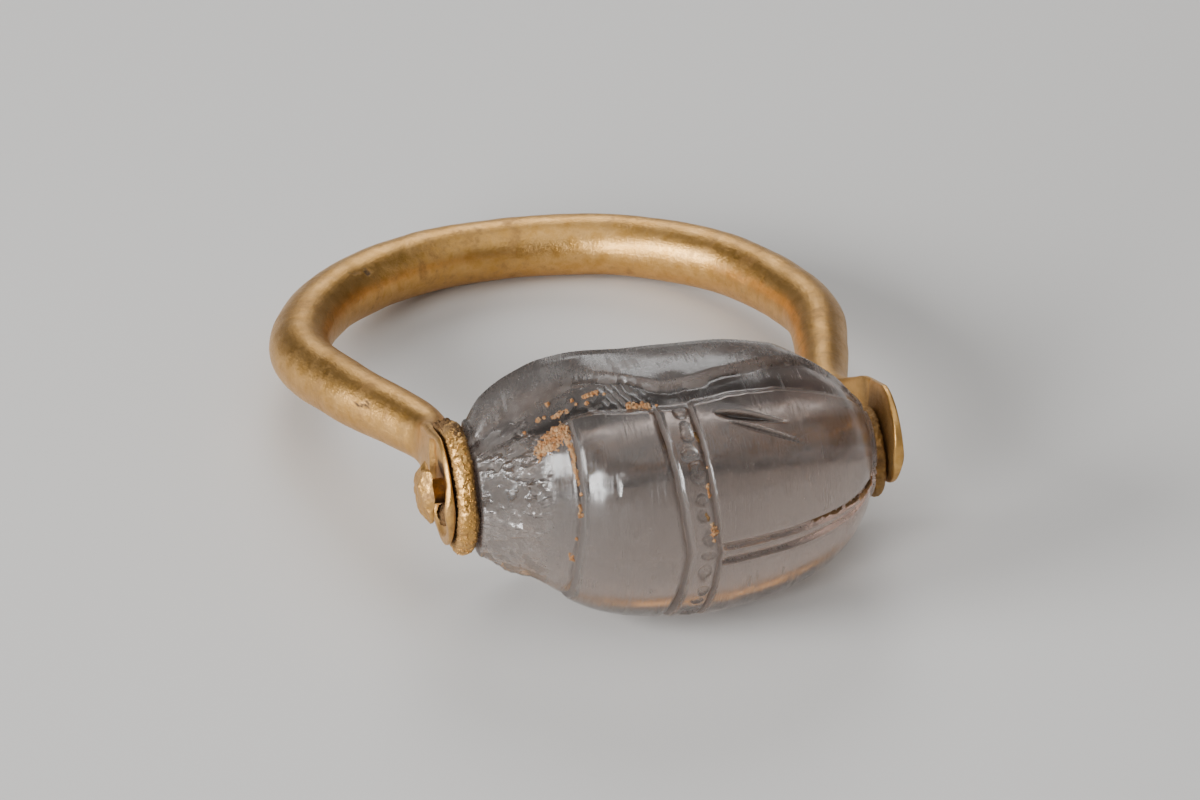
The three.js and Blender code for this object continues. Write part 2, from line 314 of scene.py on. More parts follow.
class NodeBench:
    """Lays out the nodes of one material."""

    def __init__(self, name: str) -> None:
        """Starts an empty material of that name."""
        self.material = bpy.data.materials.new(name)
        self.material.use_nodes = True
        self.tree = self.material.node_tree
        self.tree.nodes.clear()
        self.output = self.tree.nodes.new("ShaderNodeOutputMaterial")
        self.shader = self.tree.nodes.new("ShaderNodeBsdfPrincipled")
        self.link(self.shader.outputs["BSDF"], self.output.inputs["Surface"])

    def link(self, source: Socket, target: Socket) -> None:
        """Joins two sockets."""
        self.tree.links.new(source, target)

    def feed(self, socket: Socket, value: Socket | float | tuple) -> None:
        """Links a socket to another, or sets its value."""
        if isinstance(value, Socket):
            self.link(value, socket)
        else:
            socket.default_value = value

    def surface(self, name: str, value: Socket | float | tuple) -> None:
        """Feeds one of the shader's inputs."""
        self.feed(self.shader.inputs[name], value)

    def mapped(self, source: Socket, scale: Point) -> Socket:
        """Coordinates drawn out by a factor along each axis.

        Args:
            source: the coordinates.
            scale: the three factors.

        Returns:
            The new coordinates.
        """
        mapping = self.tree.nodes.new("ShaderNodeMapping")
        mapping.inputs["Scale"].default_value = scale
        self.link(source, mapping.inputs["Vector"])
        return mapping.outputs["Vector"]

    def millimetres(self) -> Socket:
        """Object coordinates in millimetres."""
        source = self.tree.nodes.new("ShaderNodeTexCoord")
        return self.mapped(source.outputs["Object"], (1.0 / MILLIMETRE,) * 3)

    def along_around(self, stretch: tuple[float, float]) -> Socket:
        """The piece's own map, in millimetres along and around it, drawn out by two factors."""
        source = self.tree.nodes.new("ShaderNodeUVMap")
        source.uv_map = CHART
        return self.mapped(source.outputs["UV"], (*stretch, 1.0))

    def layer(self, name: str) -> Socket:
        """A value that the mesh carries at its points."""
        node = self.tree.nodes.new("ShaderNodeAttribute")
        node.attribute_name = name
        return node.outputs["Fac"]

    def noise(self, where: Socket, scale: float, detail: float, rough: float) -> Socket:
        """Cloudy noise.

        Args:
            where: its coordinates.
            scale: swells a unit.
            detail: how many finer swells are added.
            rough: how strong they are.

        Returns:
            The noise's height.
        """
        node = self.tree.nodes.new("ShaderNodeTexNoise")
        for name, number in (("Scale", scale), ("Detail", detail), ("Roughness", rough)):
            node.inputs[name].default_value = number
        self.link(where, node.inputs["Vector"])
        return node.outputs["Fac"]

    def between(self, value: Socket, low: float, high: float,
                first: float = 0.0, last: float = 1.0) -> Socket:
        """Maps one range of values to another, and holds it there.

        Args:
            value: what is mapped.
            low: where the mapping starts.
            high: where it stops.
            first: what low becomes.
            last: what high becomes.

        Returns:
            The mapped value.
        """
        node = self.tree.nodes.new("ShaderNodeMapRange")
        self.link(value, node.inputs["Value"])
        for name, number in (("From Min", low), ("From Max", high), ("To Min", first), ("To Max", last)):
            node.inputs[name].default_value = number
        return node.outputs["Result"]

    def reckon(self, operation: str, a: Socket | float, b: Socket | float) -> Socket:
        """One step of arithmetic, held between 0 and 1.

        Args:
            operation: such as ADD, MULTIPLY or MAXIMUM.
            a: the first value.
            b: the second value.

        Returns:
            The result.
        """
        node = self.tree.nodes.new("ShaderNodeMath")
        node.operation = operation
        node.use_clamp = True
        self.feed(node.inputs[0], a)
        self.feed(node.inputs[1], b)
        return node.outputs["Value"]

    def tint(self, share: Socket, a: Socket | Colour, b: Socket | Colour) -> Socket:
        """Goes from one colour to another.

        Args:
            share: how far it has gone, from 0 to 1.
            a: the first colour.
            b: the last colour.

        Returns:
            The mixed colour.
        """
        node = self.tree.nodes.new("ShaderNodeMix")
        node.data_type = "RGBA"
        self.feed(node.inputs["Factor"], share)
        for socket, colour in zip([s for s in node.inputs if s.type == "RGBA"], (a, b)):
            self.feed(socket, colour if isinstance(colour, Socket) else (*colour, 1.0))
        return next(s for s in node.outputs if s.type == "RGBA")

    def relief(self, height: Socket, depth: float, under: Socket | None = None) -> Socket:
        """Fine relief.

        Args:
            height: its height, from 0 to 1.
            depth: how deep it is, in millimetres.
            under: relief that it lies on.

        Returns:
            The normal.
        """
        node = self.tree.nodes.new("ShaderNodeBump")
        node.inputs["Strength"].default_value = 1.0
        node.inputs["Distance"].default_value = depth * MILLIMETRE
        self.link(height, node.inputs["Height"])
        if under is not None:
            self.link(under, node.inputs["Normal"])
        return node.outputs["Normal"]


@dataclass(frozen=True)
class GoldFinish:
    """Old worked gold: satin, paler where it is rubbed, with patches of brown patina, and an earth colour for
    real soil and for painted shade in gaps.
    """

    name: str = "worked_gold"
    rubbed: Colour = (0.70, 0.41, 0.14)
    deep: Colour = (0.54, 0.29, 0.075)
    patina: Colour = (0.26, 0.135, 0.05)
    # Dark earth colour, laid on for real soil and as painted shade in gaps, the slot and under the pin's
    # head.
    earth: Colour = (0.045, 0.024, 0.011)
    swell_pitch: float = 0.45
    blotch_pitch: float = 1.7
    grain_pitch: float = 11.0
    drawn_stretch: tuple[float, float] = (0.5, 9.0)
    most_patina: float = 0.6
    darkened_metal: float = 0.15
    satin: tuple[float, float] = (0.29, 0.43)
    patina_dulls: float = 0.14
    darkened_dulls: float = 0.4
    drawn_depth: float = 0.006
    blotch_depth: float = 0.03
    grain_depth: float = 0.012

    def build(self) -> bpy.types.Material:
        """Makes the material.

        Returns:
            The material, with its nodes laid out.
        """
        bench = NodeBench(self.name)
        where = bench.millimetres()
        swell = bench.noise(where, self.swell_pitch, 5.0, 0.62)
        blotch = bench.noise(where, self.blotch_pitch, 6.0, 0.68)
        grain = bench.noise(where, self.grain_pitch, 4.0, 0.6)
        drawn = bench.noise(bench.along_around(self.drawn_stretch), 1.0, 4.0, 0.6)
        colour = bench.tint(bench.between(blotch, 0.36, 0.62), self.deep, self.rubbed)
        brown = bench.between(bench.reckon("MULTIPLY", swell, blotch), 0.27, 0.38, 0.0, self.most_patina)
        colour = bench.tint(brown, colour, self.patina)
        # The mesh's darkening layer: real soil in places, painted shade in gaps, the slot and under the pin's
        # head.
        darkened = bench.reckon("MULTIPLY", bench.layer("dirt_and_shade"), bench.between(grain, 0.25, 0.6, 0.7, 1.0))
        bench.surface("Base Color", bench.tint(darkened, colour, self.earth))
        bench.surface("Metallic", bench.between(darkened, 0.0, 1.0, 1.0, self.darkened_metal))
        satin = bench.between(grain, 0.3, 0.7, *self.satin)
        dull = bench.reckon("ADD", satin, bench.between(brown, 0.0, self.most_patina, 0.0, self.patina_dulls))
        darkened_roughness = bench.between(darkened, 0.0, 1.0, 0.0, self.darkened_dulls)
        bench.surface("Roughness", bench.reckon("ADD", dull, darkened_roughness))
        normal = bench.relief(drawn, self.drawn_depth)
        normal = bench.relief(blotch, self.blotch_depth, normal)
        bench.surface("Normal", bench.relief(grain, self.grain_depth, normal))
        return bench.material


@dataclass(frozen=True)
class CrystalFinish:
    """Clear, faintly smoky rock crystal: polished, finely scratched, frosted where it is carved, and darkened
    by painted shade in its grooves and cuts.
    """

    name: str = "rock_crystal"
    clear: Colour = (0.90, 0.86, 0.83)
    frosted: Colour = (0.90, 0.86, 0.82)
    # Painted shade: the near-black colour laid into the grooves, the cuts and the band under the border.
    shaded: Colour = (0.035, 0.03, 0.028)
    refraction: float = 1.544
    clearness: float = 0.96
    smoke: Colour = (0.63, 0.55, 0.51)
    smoke_density: float = 285.0
    scratch_stretch: tuple[float, float] = (7.0, 0.35)
    cloud_pitch: float = 0.9
    pit_pitch: float = 8.0
    speck_pitch: float = 3.4
    polish: tuple[float, float] = (0.1, 0.21)
    scratches_whiten: float = 0.25
    scratches_dull: float = 0.2
    frost_dulls: float = 0.45
    scratch_depth: float = 0.008
    pit_depth: float = 0.07

    def build(self) -> bpy.types.Material:
        """Makes the material.

        Returns:
            The material, with its nodes laid out.
        """
        bench = NodeBench(self.name)
        where = bench.millimetres()
        scratches = bench.noise(bench.along_around(self.scratch_stretch), 1.0, 6.0, 0.7)
        cloud = bench.noise(where, self.cloud_pitch, 4.0, 0.6)
        pits = bench.noise(where, self.pit_pitch, 5.0, 0.7)
        specks = bench.between(bench.noise(where, self.speck_pitch, 3.0, 0.75), 0.66, 0.74, 0.0, 0.8)
        patchy = bench.between(cloud, 0.4, 0.62)
        scored = bench.reckon("MULTIPLY", bench.between(scratches, 0.5, 0.72), patchy)
        frost = bench.reckon("MULTIPLY", bench.layer("frost"), bench.between(pits, 0.3, 0.6, 0.5, 1.0))
        pitted = bench.reckon("MULTIPLY", specks, bench.between(pits, 0.45, 0.6))
        dull = bench.reckon("MAXIMUM", frost, pitted)
        whitened = bench.between(scored, 0.0, 1.0, 0.0, self.scratches_whiten)
        colour = bench.tint(whitened, self.clear, self.frosted)
        # Painted shade: the shade layer turns the colour towards near black.
        colour = bench.tint(bench.layer("shade"), colour, self.shaded)
        bench.surface("Base Color", bench.tint(dull, colour, self.frosted))
        worn = bench.between(cloud, 0.35, 0.65, *self.polish)
        worn = bench.reckon("ADD", worn, bench.between(scored, 0.0, 1.0, 0.0, self.scratches_dull))
        hazy = bench.between(dull, 0.0, 1.0, 0.0, self.frost_dulls)
        bench.surface("Roughness", bench.reckon("ADD", worn, hazy))
        bench.surface("Transmission Weight", self.clearness)
        bench.surface("IOR", self.refraction)
        crumbled = bench.reckon("MULTIPLY", bench.between(dull, 0.35, 1.0), pits)
        normal = bench.relief(scored, self.scratch_depth)
        bench.surface("Normal", bench.relief(crumbled, self.pit_depth, normal))
        smoke = bench.tree.nodes.new("ShaderNodeVolumeAbsorption")
        smoke.inputs["Color"].default_value = (*self.smoke, 1.0)
        smoke.inputs["Density"].default_value = self.smoke_density
        bench.link(smoke.outputs["Volume"], bench.output.inputs["Volume"])
        return bench.material


@dataclass(frozen=True)
class EarthFinish:
    """Dry earth that has set hard in the carving."""

    name: str = "dry_earth"
    pale: Colour = (0.54, 0.35, 0.19)
    rusty: Colour = (0.40, 0.17, 0.06)
    dark: Colour = (0.10, 0.05, 0.026)
    patch_pitch: float = 4.5
    grain_pitch: float = 16.0
    most_dark: float = 0.75
    roughness: float = 0.95
    sheen: float = 0.2
    grain_depth: float = 0.12

    def build(self) -> bpy.types.Material:
        """Makes the material.

        Returns:
            The material, with its nodes laid out.
        """
        bench = NodeBench(self.name)
        where = bench.millimetres()
        patch = bench.noise(where, self.patch_pitch, 5.0, 0.65)
        grain = bench.noise(where, self.grain_pitch, 4.0, 0.7)
        colour = bench.tint(bench.between(patch, 0.4, 0.62), self.rusty, self.pale)
        colour = bench.tint(bench.between(grain, 0.5, 0.7, 0.0, self.most_dark), colour, self.dark)
        bench.surface("Base Color", colour)
        bench.surface("Roughness", self.roughness)
        bench.surface("Specular IOR Level", self.sheen)
        bench.surface("Normal", bench.relief(grain, self.grain_depth))
        return bench.material


@dataclass(frozen=True)
class FloorFinish:
    """Plain pale floor."""

    name: str = "pale_floor"
    colour: Colour = (0.60, 0.59, 0.575)
    mottle_pitch: float = 0.02
    darkest: float = 0.97
    roughness: float = 0.55

    def build(self) -> bpy.types.Material:
        """Makes the material.

        Returns:
            The material, with its nodes laid out.
        """
        bench = NodeBench(self.name)
        mottle = bench.noise(bench.millimetres(), self.mottle_pitch, 2.0, 0.5)
        darker = tuple(self.darkest * part for part in self.colour)
        bench.surface("Base Color", bench.tint(mottle, darker, self.colour))
        bench.surface("Roughness", self.roughness)
        return bench.material


@dataclass(frozen=True)
class Finishes:
    """The finishes that the pieces share."""

    gold: bpy.types.Material
    crystal: bpy.types.Material
    earth: bpy.types.Material
    soil: bpy.types.Material

    @classmethod
    def made(cls) -> "Finishes":
        """Makes one material of each finish."""
        packed = EarthFinish("packed_soil", (0.21, 0.12, 0.05), (0.13, 0.068, 0.026), (0.03, 0.018, 0.01))
        return cls(GoldFinish().build(), CrystalFinish().build(), EarthFinish().build(), packed.build())


def hand_over(piece: bpy.types.Object, material: bpy.types.Material, body: Body,
              replaced: tuple[str, ...] = ()) -> bpy.types.Object:
    """Dresses a finished piece and ties it to its body.

    Args:
        piece: the finished object.
        material: its finish.
        body: the body that it moves with.
        replaced: the solids that it stands for.

    Returns:
        The piece.
    """
    piece.data.materials.clear()
    piece.data.materials.append(material)
    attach(piece, body.value)
    if replaced:
        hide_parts(*replaced)
    LOG.info("%s: %d faces on %s", piece.name, len(piece.data.polygons), body.value)
    return piece


# The beetle


@dataclass(frozen=True)
class CrossLine:
    """A line cut across the back."""

    course: Curve
    depth: float
    half_width: float


@dataclass(frozen=True)
class Incision:
    """A lens-shaped cut on the wing cases, from one place to another, as (along, degrees of turn)."""

    start: tuple[float, float]
    stop: tuple[float, float]
    depth: float
    half_width: float


@dataclass(frozen=True)
class Mark:
    """A small worn hollow, or a bump where its depth is below 0, with its half sizes in mm."""

    along: float
    turn: float
    half_length: float
    half_width: float
    depth: float
    frost: float


@dataclass(frozen=True)
class Ground:
    """The beetle's smooth body, as rings by columns.

    It has places along the axis, degrees of turn from the middle of the back and distances out from the
    middle plane, both positive on the upper side, and the points themselves.
    """

    along: np.ndarray
    turn: np.ndarray
    out: np.ndarray
    points: np.ndarray

    @property
    def lean(self) -> np.ndarray:
        """Degrees of turn, alike on both sides."""
        return np.abs(self.turn)

    @property
    def radius(self) -> np.ndarray:
        """Distance of each point from the axis."""
        return np.hypot(self.points[..., 1], self.points[..., 2])


@dataclass
class WearAndShade:
    """What carving and wearing have done: the depth in millimetres and how frosted each place is, and how
    much painted shade each place gets.
    """

    depth: np.ndarray
    frost: np.ndarray
    shade: np.ndarray

    @classmethod
    def none(cls, shape: tuple[int, ...]) -> "WearAndShade":
        """An untouched surface of that shape."""
        return cls(np.zeros(shape), np.zeros(shape), np.zeros(shape))

    def add(self, depth: np.ndarray | float, frost: np.ndarray | float = 0.0,
            shade: np.ndarray | float = 0.0) -> None:
        """Goes deeper, and keeps the strongest frost and painted shade.

        Args:
            depth: how much deeper.
            frost: how frosted it is made, from 0 to 1.
            shade: how much painted shade it gets, from 0 to 1.
        """
        self.depth = self.depth + depth
        self.frost = np.maximum(self.frost, frost)
        self.shade = np.maximum(self.shade, shade)


@dataclass
class Carving:
    """The carved and worn surface of the beetle, as depths below its smooth body, with its frost and the
    painted shade laid into its cuts.
    """

    head_line: CrossLine = CrossLine(
        Curve(((-90, -5.2), (-40, -4.95), (-14, -4.83), (9, -4.67), (32, -4.61), (57, -4.6), (90, -4.6))),
        0.17, 0.2)
    thorax_line: CrossLine = CrossLine(
        Curve(((-90, -1.745), (-1, -0.64), (0, -0.62), (1, -0.64), (90, -1.745))), 0.2, 0.22)
    wing_line: CrossLine = CrossLine(
        Curve(((-90, -0.325), (-1, 0.6), (0, 0.62), (1, 0.6), (90, -0.325))), 0.16, 0.15)
    line_wander: float = 0.03
    head_drop: float = 0.1
    border_top: Curve = Curve((
        (-8.14, 64), (-6.3, 66), (-5.4, 62), (-4.4, 66), (-2.9, 62.6), (-0.5, 60), (1.9, 63.4), (4.4, 65),
        (6.1, 65), (7.2, 68), (8.04, 76)))
    border_foot: Curve = Curve((
        (-8.14, 92), (-6.0, 98), (-4.4, 94), (-2.9, 86), (-0.45, 70.5), (1.6, 75), (4.4, 87), (6.5, 98),
        (8.04, 90)))
    border_depth: float = 0.26
    border_softness: float = 2.2
    border_ragged: float = 0.8
    foot_softness: float = 4.5
    foot_groove: float = 0.12
    groove_width: float = 3.2
    waist_at: tuple[float, float] = (-0.45, 68.0)
    waist_reach: tuple[float, float] = (1.0, 15.0)
    waist_depth: float = 0.13
    leg_from: float = -5.2
    leg_to: float = -1.0
    leg_fade: float = 0.8
    leg_hatch: float = 0.05
    leg_pitch: float = 0.3
    leg_striped: tuple[float, float] = (-3.6, -2.6)
    suture_from: float = 0.62
    suture_spacing: Curve = Curve(((0.5, 0.36), (4.0, 0.34), (6.5, 0.26), (8.04, 0.16)))
    suture_line: float = 0.13
    suture_line_width: float = 0.18
    suture_trough: float = 0.1
    suture_trough_width: float = 0.75
    suture_ridge: float = 0.11
    cell_pitch: float = 8.0
    cell_first: float = -84.0
    cell_last: float = 58.0
    cell_low: float = 0.36
    cell_high: float = 0.9
    cell_depth: float = 0.1
    cell_bar: float = 0.2
    incisions: tuple[Incision, ...] = (
        Incision((0.88, 54.7), (3.85, 47.6), 0.26, 0.25),
        Incision((1.34, 50.5), (4.63, 38.1), 0.12, 0.09),
    )
    lens_skew: float = 0.62
    chipped_from: float = -5.3
    chip_fade: float = 0.9
    chip_depth: float = 0.11
    crumb_depth: float = 0.05
    marks: tuple[Mark, ...] = (
        Mark(-7.35, 80.0, 0.7, 0.62, 0.05, 1.2),
        Mark(-7.62, 53.5, 0.12, 0.12, -0.1, 1.0),
        Mark(-7.45, 57.0, 0.1, 0.1, -0.09, 1.0),
        Mark(-6.2, 62.0, 0.32, 0.3, 0.16, 0.0),
        Mark(-6.6, 40.0, 0.5, 0.34, 0.07, 0.7),
        Mark(-6.9, 22.0, 0.42, 0.5, 0.07, 0.6),
        Mark(-3.3, 30.0, 0.16, 0.5, 0.03, 0.5),
        Mark(-2.7, 12.0, 0.07, 0.22, 0.03, 0.7),
        Mark(-1.9, 4.0, 0.06, 0.18, 0.03, 0.7),
    )
    swell: float = 0.025
    frost_lightens: float = 0.7

    def lines(self) -> tuple[CrossLine, ...]:
        """The lines that cross the back."""
        return self.head_line, self.thorax_line, self.wing_line

    def cells(self, ground: Ground) -> np.ndarray:
        """The ladder of small, uneven sunk cells between the two lines at the middle.

        Args:
            ground: the smooth body.

        Returns:
            How far into a cell each place is, from 0 to 1.
        """
        turn = ground.turn
        first, last = self.thorax_line.course(turn), self.wing_line.course(turn)
        share = (ground.along - first) / (last - first)
        uneven_pitch = 0.16 * np.sin(0.31 * turn) + 0.07 * np.sin(0.83 * turn)
        phase = (turn - self.cell_first) / self.cell_pitch + uneven_pitch
        number = np.floor(phase)
        inside = np.abs(phase - number - 0.5)
        strength = 0.68 + 0.32 * np.sin(12.9898 * number)
        middle = 0.5 * (self.cell_low + self.cell_high) + 0.06 * np.sin(4.1 * number)
        reach = 0.5 * (self.cell_high - self.cell_low) * (0.9 + 0.2 * np.sin(7.7 * number))
        corner = np.hypot(np.abs(share - middle) / reach, inside / (0.5 - 0.4 * self.cell_bar))
        within = (turn > self.cell_first) & (turn < self.cell_last)
        return strength * (1.0 - ramp(corner, 0.62, 1.05)) * within

    def cut_border(self, ground: Ground, wear_and_shade: WearAndShade) -> tuple[np.ndarray, np.ndarray]:
        """Cuts the stepped border down both flanks, with a groove at its foot, pinched in at the waist, and
        paints shade in a band under the border's top edge and in the groove.

        Args:
            ground: the smooth body.
            wear_and_shade: what is added to.

        Returns:
            How far each place is on the back, and on the border, from 0 to 1.
        """
        along, lean = ground.along, ground.lean
        top, foot = self.border_top(along), self.border_foot(along)
        ragged = self.border_ragged * uneven(ground.points, 0.9, 3, 1.0)
        rise = ramp(lean + ragged, top - self.border_softness, top + self.border_softness)
        fall = ramp(lean, foot - self.foot_softness, foot + self.foot_softness)
        border = rise * (1.0 - fall)
        ends = ramp(along, -7.9, -6.4) * (1.0 - ramp(along, 6.4, 7.8))
        groove = bump(lean + ragged - foot, self.groove_width) * ends
        # Painted shade: a dark band just under the border's top edge, and darkness in the foot groove.
        wear_and_shade.add(self.border_depth * border, np.maximum(0.1 * border, 0.25 * fall),
                 0.85 * bump(lean - top - 4.5, 8.5) * ends)
        wear_and_shade.add(self.foot_groove * groove, 0.9 * groove * ramp(ragged, -0.15, 0.3), 0.8 * groove)
        pinch = self.waist_depth * bump(along - self.waist_at[0], self.waist_reach[0])
        wear_and_shade.add(pinch * bump(lean - self.waist_at[1], self.waist_reach[1]))
        return 1.0 - rise, border

    def cut_legs(self, ground: Ground, border: np.ndarray, wear_and_shade: WearAndShade) -> None:
        """Hatches the folded legs into the border.

        Args:
            ground: the smooth body.
            border: how far each place is on the border.
            wear_and_shade: what is added to.
        """
        along = ground.along
        leg = border * ramp(along, self.leg_from, self.leg_from + self.leg_fade) * (
            1.0 - ramp(along, self.leg_to - self.leg_fade, self.leg_to))
        wander = 0.16 * uneven(ground.points, 0.9, 2, 13.0)
        stripe = 0.5 + 0.5 * np.sin(FULL_TURN * (along + 0.035 * ground.lean + wander) / self.leg_pitch)
        broken = ramp(uneven(ground.points, 0.45, 3, 19.0), -0.35, 0.25)
        striped = ramp(along, *self.leg_striped)
        hatch = leg * broken * (stripe * striped + 0.5 * (1.0 - striped))
        wear_and_shade.add(self.leg_hatch * hatch, 0.9 * hatch)

    def cut_lines(self, ground: Ground, back: np.ndarray, wear_and_shade: WearAndShade) -> None:
        """Cuts the lines across the back and the cells between them, and lowers the head; paints shade just
        ahead of each line and round the cells' edges.

        Args:
            ground: the smooth body.
            back: how far each place is on the back.
            wear_and_shade: what is added to.
        """
        wander = self.line_wander * uneven(ground.points, 0.6, 2, 3.0)
        for line in self.lines():
            offset, wide = ground.along - line.course(ground.turn) + wander, line.half_width
            groove = back * (0.55 * bump(offset, 1.4 * wide) + 0.45 * bump(offset, 0.55 * wide))
            # Painted shade just ahead of each line, towards the head; frost just behind it.
            wear_and_shade.add(line.depth * groove, back * bump(offset - 0.06, 0.6 * wide),
                     0.55 * back * bump(offset + 0.1, 0.8 * wide))
        ahead = self.head_line.course(ground.turn) - ground.along
        wear_and_shade.add(self.head_drop * back * ramp(ahead, -0.15, 0.35) * (1.0 - ramp(ahead, 0.6, 2.4)))
        cell = back * self.cells(ground)
        crumbled = 0.5 + 0.5 * uneven(ground.points, 0.16, 3, 5.0)
        # Painted shade round the cells' edges.
        wear_and_shade.add(self.cell_depth * cell * (0.7 + 0.6 * crumbled), 0.55 * ramp(cell, 0.05, 0.4) * crumbled,
                 0.8 * bump(cell - 0.28, 0.26) * back)

    def cut_wings(self, ground: Ground, wear_and_shade: WearAndShade) -> None:
        """Cuts the double line between the wing cases, and the lens-shaped cuts on them, and paints shade in
        both.

        Args:
            ground: the smooth body.
            wear_and_shade: what is added to.
        """
        along, out = ground.along, ground.out
        behind = ramp(along, self.suture_from - 0.2, self.suture_from + 0.35)
        spacing = self.suture_spacing(along)
        groove = bump(np.abs(out) - spacing, self.suture_line_width)
        on_top = behind * (ground.lean < 90.0)
        trough = self.suture_trough * bump(out, self.suture_trough_width)
        relief = trough - self.suture_ridge * bump(out, spacing) + self.suture_line * groove
        # Faint painted shade in the double line.
        wear_and_shade.add(on_top * relief, 0.4 * on_top * groove, 0.15 * on_top * groove)
        for incision in self.incisions:
            (first, turn), (last, last_turn) = incision.start, incision.stop
            share = np.clip((along - first) / (last - first), 0.0, 1.0)
            course = turn + share * (last_turn - turn)
            swell = np.sin(math.pi * share**self.lens_skew)
            reach = ground.radius * np.radians(ground.lean - course)
            within = (along > first) & (along < last)
            lens = bump(reach, incision.half_width * (swell + 1e-3)) * within * swell
            # Painted shade in the lens-shaped cuts.
            wear_and_shade.add(incision.depth * lens, shade=ramp(lens, 0.02, 0.45))

    def chip(self, ground: Ground, wear_and_shade: WearAndShade) -> None:
        """Chips and crumbles the head, sets the single marks, and leaves the whole a little uneven.

        Args:
            ground: the smooth body.
            wear_and_shade: what is added to.
        """
        along = ground.along
        chipped = 1.0 - ramp(along, self.chipped_from - self.chip_fade, self.chipped_from)
        chipped = chipped * (1.0 - ramp(ground.lean, 78.0, 100.0))
        lumps = uneven(ground.points * np.array([0.7, 1.0, 1.0]), 0.5, 4, 7.0)
        crumbs = uneven(ground.points, 0.2, 3, 17.0)
        wear_and_shade.add(chipped * (self.chip_depth * (0.5 + lumps) + self.crumb_depth * crumbs),
                 chipped * ramp(lumps + 0.5 * crumbs, -0.2, 0.5))
        for mark in self.marks:
            off = np.radians(ground.turn - mark.turn) * ground.radius
            near = bump(np.hypot((along - mark.along) / mark.half_length, off / mark.half_width), 1.0)
            wear_and_shade.add(mark.depth * near, mark.frost * near * (0.6 + 0.6 * lumps))
        wear_and_shade.add(self.swell * uneven(ground.points, 2.4, 2, 9.0))

    def wear_and_shade(self, ground: Ground) -> WearAndShade:
        """How deep the carving and the wearing go, and how they look, with the painted shade laid into them.

        Args:
            ground: the smooth body.

        Returns:
            All that was done to it.
        """
        wear_and_shade = WearAndShade.none(ground.along.shape)
        back, border = self.cut_border(ground, wear_and_shade)
        self.cut_legs(ground, border, wear_and_shade)
        self.cut_lines(ground, back, wear_and_shade)
        self.cut_wings(ground, wear_and_shade)
        self.chip(ground, wear_and_shade)
        # Painted shade is weaker where the surface is frosted.
        wear_and_shade.shade = wear_and_shade.shade * (1.0 - self.frost_lightens * wear_and_shade.frost)
        return wear_and_shade


@dataclass(frozen=True)
class Skin:
    """The beetle's surface as rings by columns: points, normals, and its own measures."""

    points: np.ndarray
    normals: np.ndarray
    along: np.ndarray
    turn: np.ndarray
    body: np.ndarray


